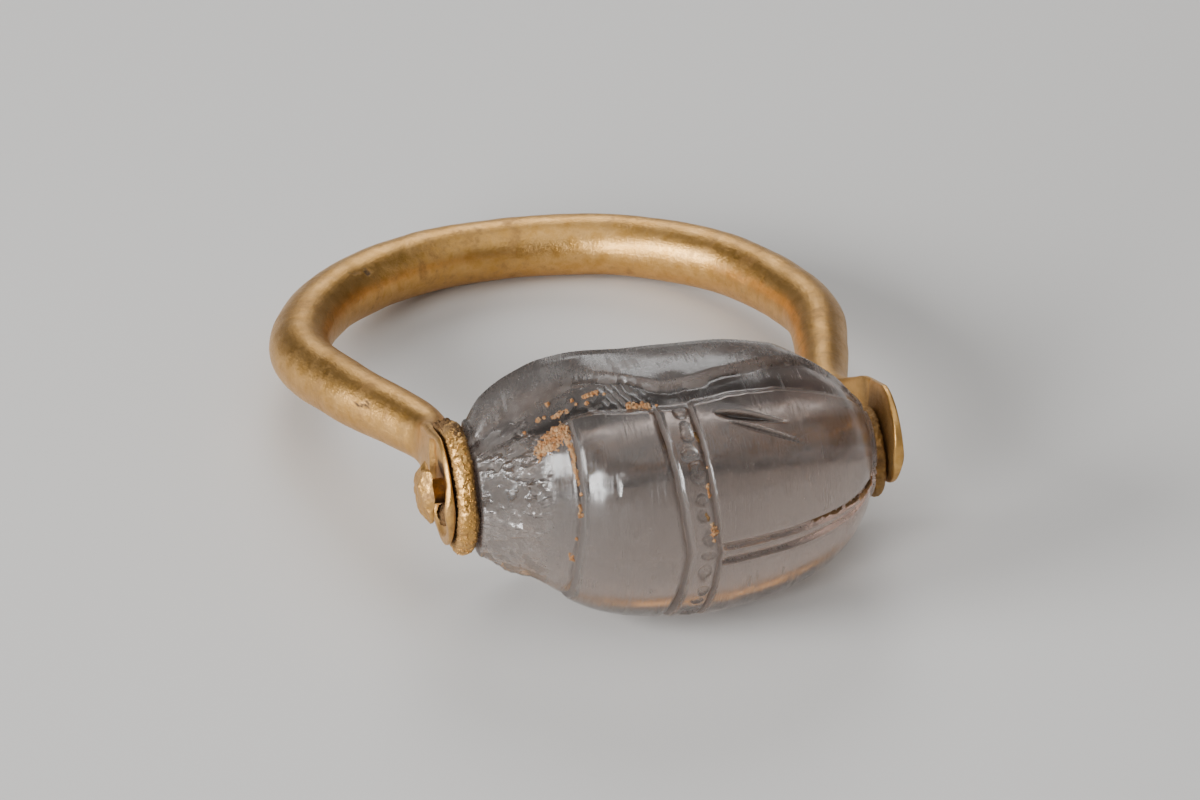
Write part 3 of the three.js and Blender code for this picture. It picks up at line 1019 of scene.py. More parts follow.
@dataclass
class Scarab:
    """The crystal beetle: a carved, domed back over plain flanks and a flat base, drilled end to end."""

    place: Place
    finishes: Finishes
    carving: Carving = field(default_factory=Carving)
    start: float = -8.14
    stop: float = 8.04
    dip: float = 5.5
    base_depth: float = 1.6
    border_height: float = 1.0
    border_most: float = 0.35
    back: Curve = Curve((
        (-8.14, 2.5), (-7.1, 3.4), (-5.9, 4.05), (-4.7, 4.98), (-3.6, 5.6), (-2.0, 6.05), (0.4, 6.26),
        (3.1, 5.9), (5.1, 5.2), (6.5, 4.35), (7.5, 3.2), (8.04, 2.0)))
    flank: Curve = Curve((
        (-8.14, 2.2), (-7.1, 2.9), (-5.9, 3.48), (-4.7, 4.25), (-3.6, 4.72), (-2.0, 5.06), (0.4, 5.22),
        (3.1, 4.98), (5.1, 4.4), (6.5, 3.56), (7.5, 2.46), (8.04, 1.4)))
    base: Curve = Curve((
        (-8.14, 1.7), (-7.4, 3.2), (-6.3, 4.14), (-5.0, 4.71), (-3.7, 4.87), (-1.5, 4.74), (1.5, 4.68),
        (4.3, 4.18), (5.6, 3.4), (6.9, 2.32), (8.04, 0.95)))
    dome_fullness: float = 0.84
    dome_share: float = 0.66
    flank_share: float = 0.26
    lean: float = -0.0115
    lean_turn: float = 90.0
    lean_reach: float = 4.0
    drill_radius: float = 0.56
    end_rounding: float = 0.22
    end_middle: tuple[float, float] = (-0.35, 0.0)
    plain_frost: float = 0.3
    # A little painted shade on the rounded ends and inside the drilling.
    end_shade: float = 0.1
    stations: int = 290
    half_columns: int = 148
    rounding_rings: int = 5
    cap_rings: int = 6
    drill_rings: int = 24

    def section(self, along: np.ndarray, q: np.ndarray) -> tuple[np.ndarray, np.ndarray]:
        """Half of the uncarved cross-section, from the middle of the back to the middle of the base.

        Args:
            along: places along the axis.
            q: shares of the way round.

        Returns:
            Heights up the back and distances out to the flank.
        """
        height, width, base = self.back(along), self.flank(along), self.base(along)
        border = np.minimum(self.border_height, self.border_most * height)
        angle = np.clip(q / self.dome_share, 0.0, 1.0) * QUARTER_TURN
        dome_up = border + (height - border) * np.maximum(np.cos(angle), 0.0) ** self.dome_fullness
        dome_out = width * np.sin(angle) ** self.dome_fullness
        t = np.clip((q - self.dome_share) / self.flank_share, 0.0, 1.0)
        flank_up = border - (border + self.base_depth) * t
        flank_out = width + (base - width) * t * t
        under = np.clip((1.0 - q) / (1.0 - self.dome_share - self.flank_share), 0.0, 1.0)
        on_dome, on_flank = q <= self.dome_share, q <= self.dome_share + self.flank_share
        up = np.where(on_dome, dome_up, np.where(on_flank, flank_up, -self.base_depth))
        out = np.where(on_dome, dome_out, np.where(on_flank, flank_out, base * under))
        return up, out

    def columns(self) -> tuple[np.ndarray, np.ndarray]:
        """The columns, once round the cross-section.

        Returns:
            Shares of the way from the back to the base, and the side that each column is on.
        """
        def crowd(q: np.ndarray) -> np.ndarray:
            """How close the columns stand: most at the middle of the back, least on the base."""
            return (0.15 + 0.85 * (q < self.dome_share + 0.12)
                    + 1.2 * bump(q, 0.06) + 0.5 * bump(q - 0.5, 0.14))

        half = spread(0.0, 1.0, self.half_columns, crowd)
        q = np.concatenate([half, half[-2:0:-1]])
        side = np.concatenate([np.ones(len(half)), -np.ones(len(half) - 2)])
        return q, side

    def rows(self) -> np.ndarray:
        """Places of the rings along the axis, closer together at the cut lines."""
        middles = [float(line.course(np.zeros(1))[0]) for line in self.carving.lines()]

        def crowd(x: np.ndarray) -> np.ndarray:
            """How close the rings stand."""
            return 1.0 + 1.2 * np.max([bump(x - at, 1.0) for at in middles], axis=0)

        return spread(self.start + self.end_rounding, self.stop - self.end_rounding, self.stations, crowd)

    def surface(self) -> tuple[np.ndarray, dict[str, np.ndarray], np.ndarray]:
        """The carved outside, before the ends are closed.

        Returns:
            Points as rings by columns by 3 in the beetle's own axes, their frost and painted shade, and their
            map.
        """
        q, side = self.columns()
        s = self.rows()[:, None]
        swept = self.lean * self.lean_turn * np.minimum(1.0, q / self.dome_share)
        along = s + swept * bump(s, self.lean_reach)
        up, out = self.section(along, np.broadcast_to(q, along.shape))
        turn = np.degrees(np.arctan2(out, up)) * side
        smooth = np.stack([along, -up, side * out], -1)
        wear_and_shade = self.carving.wear_and_shade(Ground(along, turn, side * out, smooth))
        on_base = q > self.dome_share + self.flank_share
        keep = 1.0 - wear_and_shade.depth * ~on_base / np.hypot(up, out)
        points = np.stack([along, -up * keep, side * out * keep], -1)
        step = np.linalg.norm(np.diff(points, axis=1, append=points[:, :1]), axis=-1)
        around = np.concatenate([np.zeros((len(s), 1)), np.cumsum(step, axis=1)[:, :-1]], 1)
        layers = {"frost": np.maximum(wear_and_shade.frost, self.plain_frost * on_base), "shade": wear_and_shade.shade}
        return points, layers, np.stack([along, around], -1)

    def closing(self, ring: np.ndarray, end: End) -> list[np.ndarray]:
        """Rings that round an end over and carry it in to the drilling.

        Args:
            ring: the last ring of the outside.
            end: which end it is.

        Returns:
            The further rings, from the outside in.
        """
        middle = np.array(self.end_middle)
        spoke = ring[:, 1:] - middle
        reach = np.linalg.norm(spoke, axis=1, keepdims=True)
        rings = []
        for k in range(1, self.rounding_rings + 1):
            angle = k / self.rounding_rings * QUARTER_TURN
            shrink = 1.0 - self.end_rounding * (1.0 - math.cos(angle)) / reach
            rounded = ring.copy()
            rounded[:, 1:] = middle + spoke * shrink
            rounded[:, 0] = ring[:, 0] + end.value * self.end_rounding * math.sin(angle)
            rings.append(rounded)
        bore = rings[-1].copy()
        bearing = np.arctan2(ring[:, 2], ring[:, 1])
        bore[:, 1] = self.drill_radius * np.cos(bearing)
        bore[:, 2] = self.drill_radius * np.sin(bearing)
        for k in range(1, self.cap_rings + 1):
            share = k / self.cap_rings
            rings.append(rings[self.rounding_rings - 1] * (1.0 - share) + bore * share)
        return rings

    def tilted(self, points: np.ndarray) -> np.ndarray:
        """Turns the beetle from its own axes to where it lies, and keeps it above the table.

        Args:
            points: places in its own axes.

        Returns:
            The places where it lies.
        """
        angle = math.radians(self.dip)
        turned = points.copy()
        turned[..., 1] = points[..., 1] * math.cos(angle) - points[..., 2] * math.sin(angle)
        turned[..., 2] = points[..., 1] * math.sin(angle) + points[..., 2] * math.cos(angle)
        turned[..., 2] = np.maximum(turned[..., 2], self.place.table)
        return turned

    def skin(self) -> Skin:
        """The finished surface, for what lies on it."""
        body, _, chart = self.surface()
        lying = self.tilted(body)
        turn = np.degrees(np.arctan2(body[..., 2], -body[..., 1]))
        return Skin(lying, ring_normals(lying, False), chart[..., 0], turn, body)

    def build(self) -> bpy.types.Object:
        """Makes the crystal.

        Returns:
            The piece that stands for the solid of the beetle.
        """
        points, layers, chart = self.surface()
        count = points.shape[1]
        tail = self.closing(points[-1], End.TAIL)
        head = self.closing(points[0], End.HEAD)
        bore = [tail[-1] + (head[-1] - tail[-1]) * k / self.drill_rings for k in range(1, self.drill_rings)]
        extra = tail + bore + head[::-1]
        rings = np.concatenate([points, np.array(extra)])
        # The rounded ends and the drilling get the plain frost and a little painted shade.
        plain = {"frost": self.plain_frost, "shade": self.end_shade}
        dressed = {name: np.concatenate([layer, np.full((len(extra), count), plain[name])]).ravel()
                   for name, layer in layers.items()}
        charted = np.concatenate([chart, np.repeat(chart[-1:], len(extra), axis=0)])
        shell = Shell(self.tilted(rings).reshape(-1, 3), band_faces(len(rings), count, True),
                      dressed, charted.reshape(-1, 2))
        piece = shell.build("crystal_scarab", self.place)
        return hand_over(piece, self.finishes.crystal, Body.STONE, ("scarab",))


# The hoop


@dataclass(frozen=True)
class Terminal:
    """One end of the swivel: the plate that the wire is hammered into, and the washer beside it.

    The dish sunk into the plate's outside has its own middle (y, z) and radius. The lip is a rolled edge
    along the plate's top, and the slot a narrow hole in the dish, at (y, z) with half sizes and a slant.
    The lean is how far the top of the plate's outside stands back towards the washer.
    """

    end: End
    collar_from: float
    collar_to: float
    collar_radius: float
    collar_drop: float
    collar_rounding: float
    plate_from: float
    plate_to: float
    plate_radius: float
    plate_shift: tuple[float, float]
    seat_gap: float
    dish_middle: tuple[float, float]
    dish_radius: float
    dish_depth: float
    lip_rise: float
    lip_width: float
    slot_middle: tuple[float, float]
    slot_half: tuple[float, float]
    slot_slant: float
    slot_depth: float
    lean: float
    dish_wall: float = 0.22

    @property
    def plate_middle(self) -> float:
        """The plate's middle along the axis."""
        return self.end.value * 0.5 * (self.plate_from + self.plate_to)

    @property
    def plate_half(self) -> float:
        """Half of the plate's thickness."""
        return 0.5 * (self.plate_to - self.plate_from)

    def slot(self, y: np.ndarray, z: np.ndarray) -> np.ndarray:
        """How far into the dark slot each place of the plate is.

        Args:
            y: distances towards the back of the hoop.
            z: heights over the axis.

        Returns:
            From 0, outside, to 1.
        """
        slant = math.radians(self.slot_slant)
        far, up = y - self.slot_middle[0], z - self.slot_middle[1]
        run = far * math.cos(slant) + up * math.sin(slant)
        across = up * math.cos(slant) - far * math.sin(slant)
        return bump(np.hypot(run / self.slot_half[0], across / self.slot_half[1]), 1.0)

    def from_dish(self, y: np.ndarray, z: np.ndarray) -> np.ndarray:
        """Distance of each place of the plate from the dish's middle."""
        return np.hypot(y - self.dish_middle[0], z - self.dish_middle[1])

    def dish(self, y: np.ndarray, z: np.ndarray) -> np.ndarray:
        """How far into the dish each place of the plate is, from 0 to 1."""
        return 1.0 - ramp(self.from_dish(y, z), self.dish_radius - self.dish_wall, self.dish_radius)


HEAD_TERMINAL = Terminal(
    End.HEAD, collar_from=8.24, collar_to=9.02, collar_radius=2.66, collar_drop=0.0, collar_rounding=0.34,
    plate_from=9.12, plate_to=9.42, plate_radius=2.3, plate_shift=(0.0, 0.13), seat_gap=0.34,
    dish_middle=(0.0, 0.18), dish_radius=2.05, dish_depth=0.2, lip_rise=0.15, lip_width=0.3,
    slot_middle=(-0.2, 0.98), slot_half=(2.0, 0.42), slot_slant=-11.4, slot_depth=0.22, lean=0.15)
TAIL_TERMINAL = Terminal(
    End.TAIL, collar_from=8.14, collar_to=8.6, collar_radius=1.82, collar_drop=0.7, collar_rounding=0.16,
    plate_from=8.71, plate_to=9.12, plate_radius=2.04, plate_shift=(-0.36, 0.36), seat_gap=0.05,
    dish_middle=(0.0, 0.0), dish_radius=1.6, dish_depth=0.1, lip_rise=0.04, lip_width=0.3,
    slot_middle=(0.4, 1.3), slot_half=(0.1, 0.1), slot_slant=0.0, slot_depth=0.0, lean=0.0)


@dataclass(frozen=True)
class Scar:
    """A crack or a pit in the wire, by distance along it and degrees round it, with its half sizes in mm."""

    along: float
    bearing: float
    slant: float
    half_length: float
    half_width: float
    depth: float
    soil: float


@dataclass
class Hoop:
    """The gold wire: thickest at the back, drawn thinner along the arms, hammered flat at both ends."""

    place: Place
    finishes: Finishes
    plan: tuple[tuple[float, float], ...] = (
        (-9.27, 1.3), (-9.2, 2.8), (-8.75, 5.2), (-11.08, 10.86), (-12.12, 15.6), (-9.8, 21.0),
        (-5.4, 24.4), (-0.7, 25.2), (4.1, 24.05), (7.95, 20.3), (9.78, 14.2), (9.1, 9.6), (8.12, 5.4),
        (8.36, 3.7), (8.92, 1.3))
    back_distance: float = 25.2
    back_height: float = 1.35
    roll: float = 0.014
    taper: Curve = Curve(((0, 0.94), (0.05, 1.03), (0.09, 1.15), (0.17, 1.27), (0.26, 1.31), (0.42, 1.36),
                          (0.6, 1.36), (0.8, 1.24), (0.91, 1.02), (1, 0.94)))
    roundness: Curve = Curve(((0, 0), (1.0, 0.04), (2.5, 0.34), (4.2, 0.9), (5.6, 1), (80, 1)))
    flare: Curve = Curve(((0, 1.17), (0.6, 1.07), (1.7, 0.6), (2.5, 0.26), (3.2, 0.07), (4.2, 0), (80, 0)))
    strip_edge: float = 0.45
    lip_until: float = 2.6
    lip_inset: float = 0.55
    disc_share: float = 0.7
    least_thickness: float = 0.04
    mean_radius: float = 1.3
    hammered: float = 0.035
    hammer_pitch: float = 2.6
    scars: tuple[Scar, ...] = (
        Scar(7.4, 27.3, -6.1, 0.75, 0.075, 0.06, 1.0),
        Scar(7.15, 36.0, 26.0, 0.22, 0.06, 0.05, 1.0),
        Scar(22.8, 134.0, 0.0, 0.3, 0.24, 0.05, 1.0),
        Scar(22.1, 124.0, 12.0, 0.5, 0.11, 0.03, 0.6),
    )
    wire_rings: int = 440
    plate_rings: int = 84
    columns: int = 148

    @property
    def tilt(self) -> float:
        """How far the hoop's plane falls for each step towards its back."""
        return (-self.place.table - self.back_height) / self.back_distance

    @property
    def neck_reach(self) -> float:
        """Distance from the axis at which the plates go over into the wire."""
        return self.plan[0][1]

    def path(self) -> tuple[np.ndarray, np.ndarray]:
        """The wire's centre line from plate to plate.

        Returns:
            Points along it, and the distance of each from its start.
        """
        line = smooth_line([Vector((x, y, -self.tilt * y - self.roll * x)) for x, y in self.plan])
        length = np.concatenate([[0.0], np.cumsum(np.linalg.norm(np.diff(line, axis=0), axis=1))])
        at = spread(0.0, length[-1], self.wire_rings,
                    lambda x: 1.0 + 2.0 * (np.minimum(x, length[-1] - x) < 4.0))
        return np.stack([np.interp(at, length, line[:, k]) for k in range(3)], 1), at

    def strip(self, half_thick: float, half_wide: float, flat: float) -> tuple[np.ndarray, np.ndarray]:
        """One cross-section, from a flat strip with round edges to a full round.

        Args:
            half_thick: half of its thickness.
            half_wide: half of its width.
            flat: how round it is, from 0 to 1.

        Returns:
            Distances through its thickness and across its width.
        """
        angle = np.linspace(0.0, FULL_TURN, self.columns, endpoint=False)
        power = self.strip_edge + (1.0 - self.strip_edge) * flat
        through = np.sign(np.cos(angle)) * np.abs(np.cos(angle)) ** power
        return half_thick * through, half_wide * np.sin(angle)

    def lip(self, terminal: Terminal, across: np.ndarray, half_wide: float) -> np.ndarray:
        """How far on the rolled edge along the top each place of a cross-section is.

        Args:
            terminal: which plate.
            across: distances across the cross-section's width.
            half_wide: half of that width.

        Returns:
            From 0, off the edge, to 1.
        """
        return bump(half_wide - self.lip_inset * terminal.lip_width - across, terminal.lip_width)

    def wire(self) -> tuple[np.ndarray, np.ndarray]:
        """The wire's cross-sections.

        Returns:
            Rings of points, and the distance of each from the wire's start.
        """
        line, at = self.path()
        ahead = np.gradient(line, axis=0)
        up = np.array([self.roll, self.tilt, 1.0])
        up /= np.linalg.norm(up)
        side = np.cross(ahead, up)
        side /= np.linalg.norm(side, axis=1, keepdims=True)
        end = np.minimum(at, at[-1] - at)
        flat, widening, radius = self.roundness(end), self.flare(end), self.taper(at / at[-1])
        rings = []
        for i in range(len(line)):
            near = HEAD_TERMINAL if i < len(line) // 2 else TAIL_TERMINAL
            thick = near.plate_half + (radius[i] - near.plate_half) * flat[i]
            wide = radius[i] * (1.0 + widening[i])
            through, across = self.strip(thick, wide, flat[i])
            fade = float(1.0 - ramp(end[i], 0.4 * self.lip_until, self.lip_until))
            outside = ramp(through, -0.2 * thick, 0.5 * thick)
            through = through + fade * near.lip_rise * self.lip(near, across, wide) * outside
            rings.append(line[i] - through[:, None] * side[i] + across[:, None] * up)
        return np.array(rings), at

    def edges_at(self, terminal: Terminal, y: float) -> tuple[float, float]:
        """Where a plate ends below and above, from the far side of its disc to the neck.

        Args:
            terminal: which plate.
            y: distance from the axis towards the back of the hoop.

        Returns:
            The heights of its lower and upper edge.
        """
        ahead, rise = terminal.plate_shift
        off = min(abs(min(y, 0.0) - ahead), terminal.plate_radius)
        chord = math.sqrt(max(1e-4, terminal.plate_radius**2 - off**2))
        neck = float(self.taper(np.zeros(1))[0] * (1.0 + self.flare(np.zeros(1))[0]))
        joint = -self.roll * terminal.plate_middle - self.tilt * self.neck_reach
        share = min(max(y / self.neck_reach, 0.0), 1.0)
        low = (rise - chord) * (1.0 - share) + (joint - neck) * share
        high = (rise + chord) * (1.0 - share) + (joint + neck) * share
        return low, high

    def plate(self, terminal: Terminal) -> tuple[np.ndarray, np.ndarray]:
        """A plate's cross-sections, dished on its outside, with its top edge rolled over.

        Args:
            terminal: which plate.

        Returns:
            Rings of points from the far edge to the neck, and the distance of each before the wire's start.
        """
        ahead, rise = terminal.plate_shift
        radius = terminal.plate_radius
        swing = np.linspace(0.1, 1.0, self.plate_rings)[:-1]
        share = self.disc_share
        reach = np.where(swing < share, (ahead - radius) * np.cos(swing / share * QUARTER_TURN),
                         (swing - share) / (1.0 - share) * self.neck_reach)
        rings = []
        for y in reach:
            low, high = self.edges_at(terminal, y)
            half_wide, middle = 0.5 * (high - low), 0.5 * (high + low)
            through, across = self.strip(terminal.plate_half, half_wide, 0.0)
            outside = ramp(through, -0.2 * terminal.plate_half, 0.6 * terminal.plate_half)
            z = across + middle
            far = y + self.tilt * across * min(max(y / self.neck_reach, 0.0), 1.0)
            sunk = terminal.dish_depth * terminal.dish(far, z) + terminal.slot_depth * terminal.slot(far, z)
            brim = radius - self.lip_inset * terminal.lip_width - np.hypot(far - ahead, z - rise)
            lip = terminal.lip_rise * bump(brim, terminal.lip_width)
            edge = terminal.lip_rise * self.lip(terminal, across, half_wide)
            share = float(ramp(np.array(y), -0.5, 0.9))
            risen = (lip * (1.0 - share) + edge * share) * ramp(z, -0.9, 0.5)
            back = terminal.lean * ramp(z, 0.0, 1.6) * (1.0 - ramp(np.array(y), -0.4, self.neck_reach))
            thinnest = self.least_thickness - 2.0 * terminal.plate_half
            through = through + np.maximum(risen - sunk - back, thinnest) * outside
            rings.append(np.stack([terminal.plate_middle + terminal.end.value * through, far, z], 1))
        return np.array(rings), reach - self.neck_reach

    def soil(self, points: np.ndarray) -> np.ndarray:
        """How much the gold is darkened: painted shade in the slot, on the plate's inside face and round the
        pin under its head, and a patchy ring at the dish's wall.

        Args:
            points: the places, one row each.

        Returns:
            From 0, untouched, to 1.
        """
        total = np.zeros(len(points))
        for terminal in (HEAD_TERMINAL, TAIL_TERMINAL):
            outward = terminal.end.value * points[:, 0]
            y, z = points[:, 1], points[:, 2]
            near = ramp(outward, 8.5, 8.8) * (1.0 - ramp(np.hypot(y, z), 3.2, 4.4))
            # Painted shade on the plate's inside face, in the gap towards the washer.
            inner = 1.0 - ramp(outward, terminal.plate_from - 0.02, terminal.plate_from + 0.09)
            # Painted shade in the dish round the pin, under its head.
            shade = 1.0 - ramp(np.hypot(y, z), 0.9, 1.75)
            # A darker ring at the dish's wall.
            brim = bump(terminal.from_dish(y, z) - terminal.dish_radius + 0.2, 0.2)
            worn = 0.5 + 0.5 * ramp(uneven(points, 0.5, 3, 15.0), -0.3, 0.3)
            slot = terminal.slot(y, z) if terminal.slot_depth > 0.0 else np.zeros(len(points))
            dish = np.maximum(0.22 * shade, 0.4 * brim) * worn
            # The slot is darkened to the full, as painted shadow.
            total = np.maximum(total, near * np.maximum.reduce([0.8 * inner, dish, ramp(slot, 0.1, 0.5)]))
        return total

    def marked(self, along: np.ndarray) -> tuple[np.ndarray, np.ndarray]:
        """The scars on the wire.

        Args:
            along: the distance of each ring from the wire's start.

        Returns:
            How deep they go and how much darker they are made at each point.
        """
        bearing = np.linspace(0.0, 360.0, self.columns, endpoint=False)
        deep = np.zeros((len(along), self.columns))
        darkened = np.zeros_like(deep)
        for scar in self.scars:
            far = (along - scar.along)[:, None]
            off = np.radians(bearing[None, :] - scar.bearing - scar.slant * far)
            crooked = 0.05 * np.sin(7.0 * far / scar.half_length)
            mark = bump(np.hypot(far / scar.half_length, (1.2 * off + crooked) / scar.half_width), 1.0)
            deep += scar.depth * mark
            darkened = np.maximum(darkened, scar.soil * ramp(mark, 0.02, 0.3))
        return deep.ravel(), darkened.ravel()

    def build(self) -> bpy.types.Object:
        """Makes the wire and its two plates as one piece.

        Returns:
            The piece that stands for the solid of the hoop.
        """
        wire, at = self.wire()
        head, before = self.plate(HEAD_TERMINAL)
        tail, after = self.plate(TAIL_TERMINAL)
        rings = np.concatenate([head, wire, tail[::-1]])
        along = np.concatenate([before, at, at[-1] - after[::-1]])
        points, normals = rings.reshape(-1, 3), ring_normals(rings, False).reshape(-1, 3)
        deep, darkened = self.marked(along)
        worked = ramp(np.minimum(along, at[-1] - along), 1.5, 3.5).repeat(self.columns)
        lift = self.hammered * uneven(points, self.hammer_pitch, 3, 11.0) * worked - deep
        # Darkening: painted shade at the plates, with the scars' darker marks.
        soil = np.maximum(self.soil(points), darkened)
        points = points + lift[:, None] * normals
        points[:, 2] = np.maximum(points[:, 2], self.place.table)
        faces = capped_faces(len(rings), self.columns)
        around = np.linspace(0.0, FULL_TURN * self.mean_radius, self.columns, endpoint=False)
        chart = np.stack(np.broadcast_arrays(along[:, None], around[None, :]), -1).reshape(-1, 2)
        piece = Shell(points, faces, {"dirt_and_shade": soil}, chart).build("gold_hoop", self.place)
        return hand_over(piece, self.finishes.gold, Body.RING, ("hoop",))


def smooth_line(knots: list[Vector], steps: int = 240) -> np.ndarray:
    """A smooth line through points, each stretch timed by the square root of its length.

    Args:
        knots: the points.
        steps: places to read between two of them.

    Returns:
        The places along the line, one row each.
    """
    points = [2.0 * knots[0] - knots[1], *knots, 2.0 * knots[-1] - knots[-2]]
    rows = []
    for i in range(1, len(points) - 2):
        a, b, c, d = points[i - 1:i + 3]
        t = np.cumsum([0.0, (b - a).length ** 0.5, (c - b).length ** 0.5, (d - c).length ** 0.5])
        for x in np.linspace(t[1], t[2], steps, endpoint=False):
            ab = a.lerp(b, x / t[1])
            bc = b.lerp(c, (x - t[1]) / (t[2] - t[1]))
            cd = c.lerp(d, (x - t[2]) / (t[3] - t[2]))
            abc = ab.lerp(bc, x / t[2])
            bcd = bc.lerp(cd, (x - t[1]) / (t[3] - t[1]))
            rows.append(abc.lerp(bcd, (x - t[1]) / (t[2] - t[1])))
    return np.array([tuple(row) for row in (*rows, knots[-1])])


# Washers and pin


@dataclass
class Collar:
    """A gold washer between the crystal and a plate: cast rough, worn round at its rim."""

    place: Place
    finishes: Finishes
    terminal: Terminal
    name: str
    node: str
    # How much the whole washer is darkened, in patches.
    darkening: float = 0.0
    bore_radius: float = 0.62
    swell: float = 0.05
    swell_pitch: float = 1.3
    crumb: float = 0.05
    crumb_pitch: float = 0.17
    around: int = 380
    profile_steps: int = 14
    flat_steps: int = 14
    rim_steps: int = 12
    bore_steps: int = 6
    least_lift: float = -0.12
    most_lift: float = 0.045

    def profile(self) -> tuple[np.ndarray, np.ndarray]:
        """The washer's closed section.

        Returns:
            Distances along the axis, and out from the washer's middle.
        """
        low, high = self.terminal.collar_from, self.terminal.collar_to
        radius, edge = self.terminal.collar_radius, self.terminal.collar_rounding
        bore = self.bore_radius
        arc = np.linspace(0.0, QUARTER_TURN, self.profile_steps)
        faces = np.linspace(bore, radius - edge, self.flat_steps)
        rim = np.linspace(low + edge, high - edge, self.rim_steps)[1:-1]
        x = [np.full(self.flat_steps, low), low + edge * (1.0 - np.cos(arc[1:])), rim,
             high - edge * (1.0 - np.sin(arc)), np.full(self.flat_steps - 1, high),
             np.linspace(high, low, self.bore_steps)[1:-1]]
        r = [faces, radius - edge * (1.0 - np.sin(arc[1:])), np.full(len(rim), radius),
             radius - edge * (1.0 - np.cos(arc)), faces[::-1][1:],
             np.full(self.bore_steps - 2, bore)]
        return np.concatenate(x), np.concatenate(r)

    def build(self) -> bpy.types.Object:
        """Makes the washer.

        Returns:
            The piece that stands for the solid of the washer.
        """
        x, r = self.profile()
        turn = np.linspace(0.0, FULL_TURN, self.around, endpoint=False)[:, None]
        along = self.terminal.end.value * np.broadcast_to(x, (self.around, len(x)))
        drop = self.terminal.collar_drop * (r - r.min()) / (r.max() - r.min())
        rings = np.stack([along, r * np.cos(turn), r * np.sin(turn) - drop], -1)
        points, normals = rings.reshape(-1, 3), ring_normals(rings, True).reshape(-1, 3)
        rim = np.tile(ramp(r, 0.8, self.terminal.collar_radius - self.terminal.collar_rounding), self.around)
        swells, crumbs = uneven(points, self.swell_pitch, 2, 21.0), uneven(points, self.crumb_pitch, 3, 23.0)
        lift = np.clip(self.swell * swells + self.crumb * crumbs, self.least_lift, self.most_lift) * rim
        faced = np.abs(points[:, 0]) - self.terminal.collar_from
        patchy = ramp(uneven(points, 0.6, 3, 25.0), -0.35, 0.15)
        inward = np.tile(ramp(self.terminal.collar_radius - r, 0.02, 0.4), self.around)
        deep = self.terminal.collar_to - self.terminal.collar_from
        soil = 0.85 * ramp(points[:, 2], 1.8, 2.5) * ramp(points[:, 1], -0.6, 0.4) * patchy
        # Painted shade on the washer's face towards the plate, inside its rim, and on its side towards the
        # crystal, where they sit in gaps.
        soil = np.maximum(soil, 0.8 * ramp(faced, 0.6 * deep, deep) * inward)
        soil = np.maximum(soil, 0.75 * (1.0 - ramp(faced, 0.0, 0.3 * deep)))
        # The whole washer darkened evenly, in patches.
        soil = np.maximum(soil, self.darkening * (0.6 + 0.4 * patchy))
        chart = np.stack([turn.repeat(len(x), axis=1) * self.terminal.collar_radius,
                          np.broadcast_to(r + x, (self.around, len(x)))], -1)
        faces = band_faces(self.around, len(x), True)
        shell = Shell(points + lift[:, None] * normals, faces, {"dirt_and_shade": soil}, chart.reshape(-1, 2))
        piece = shell.build(self.name, self.place)
        return hand_over(piece, self.finishes.gold, Body.RING, (self.node,))


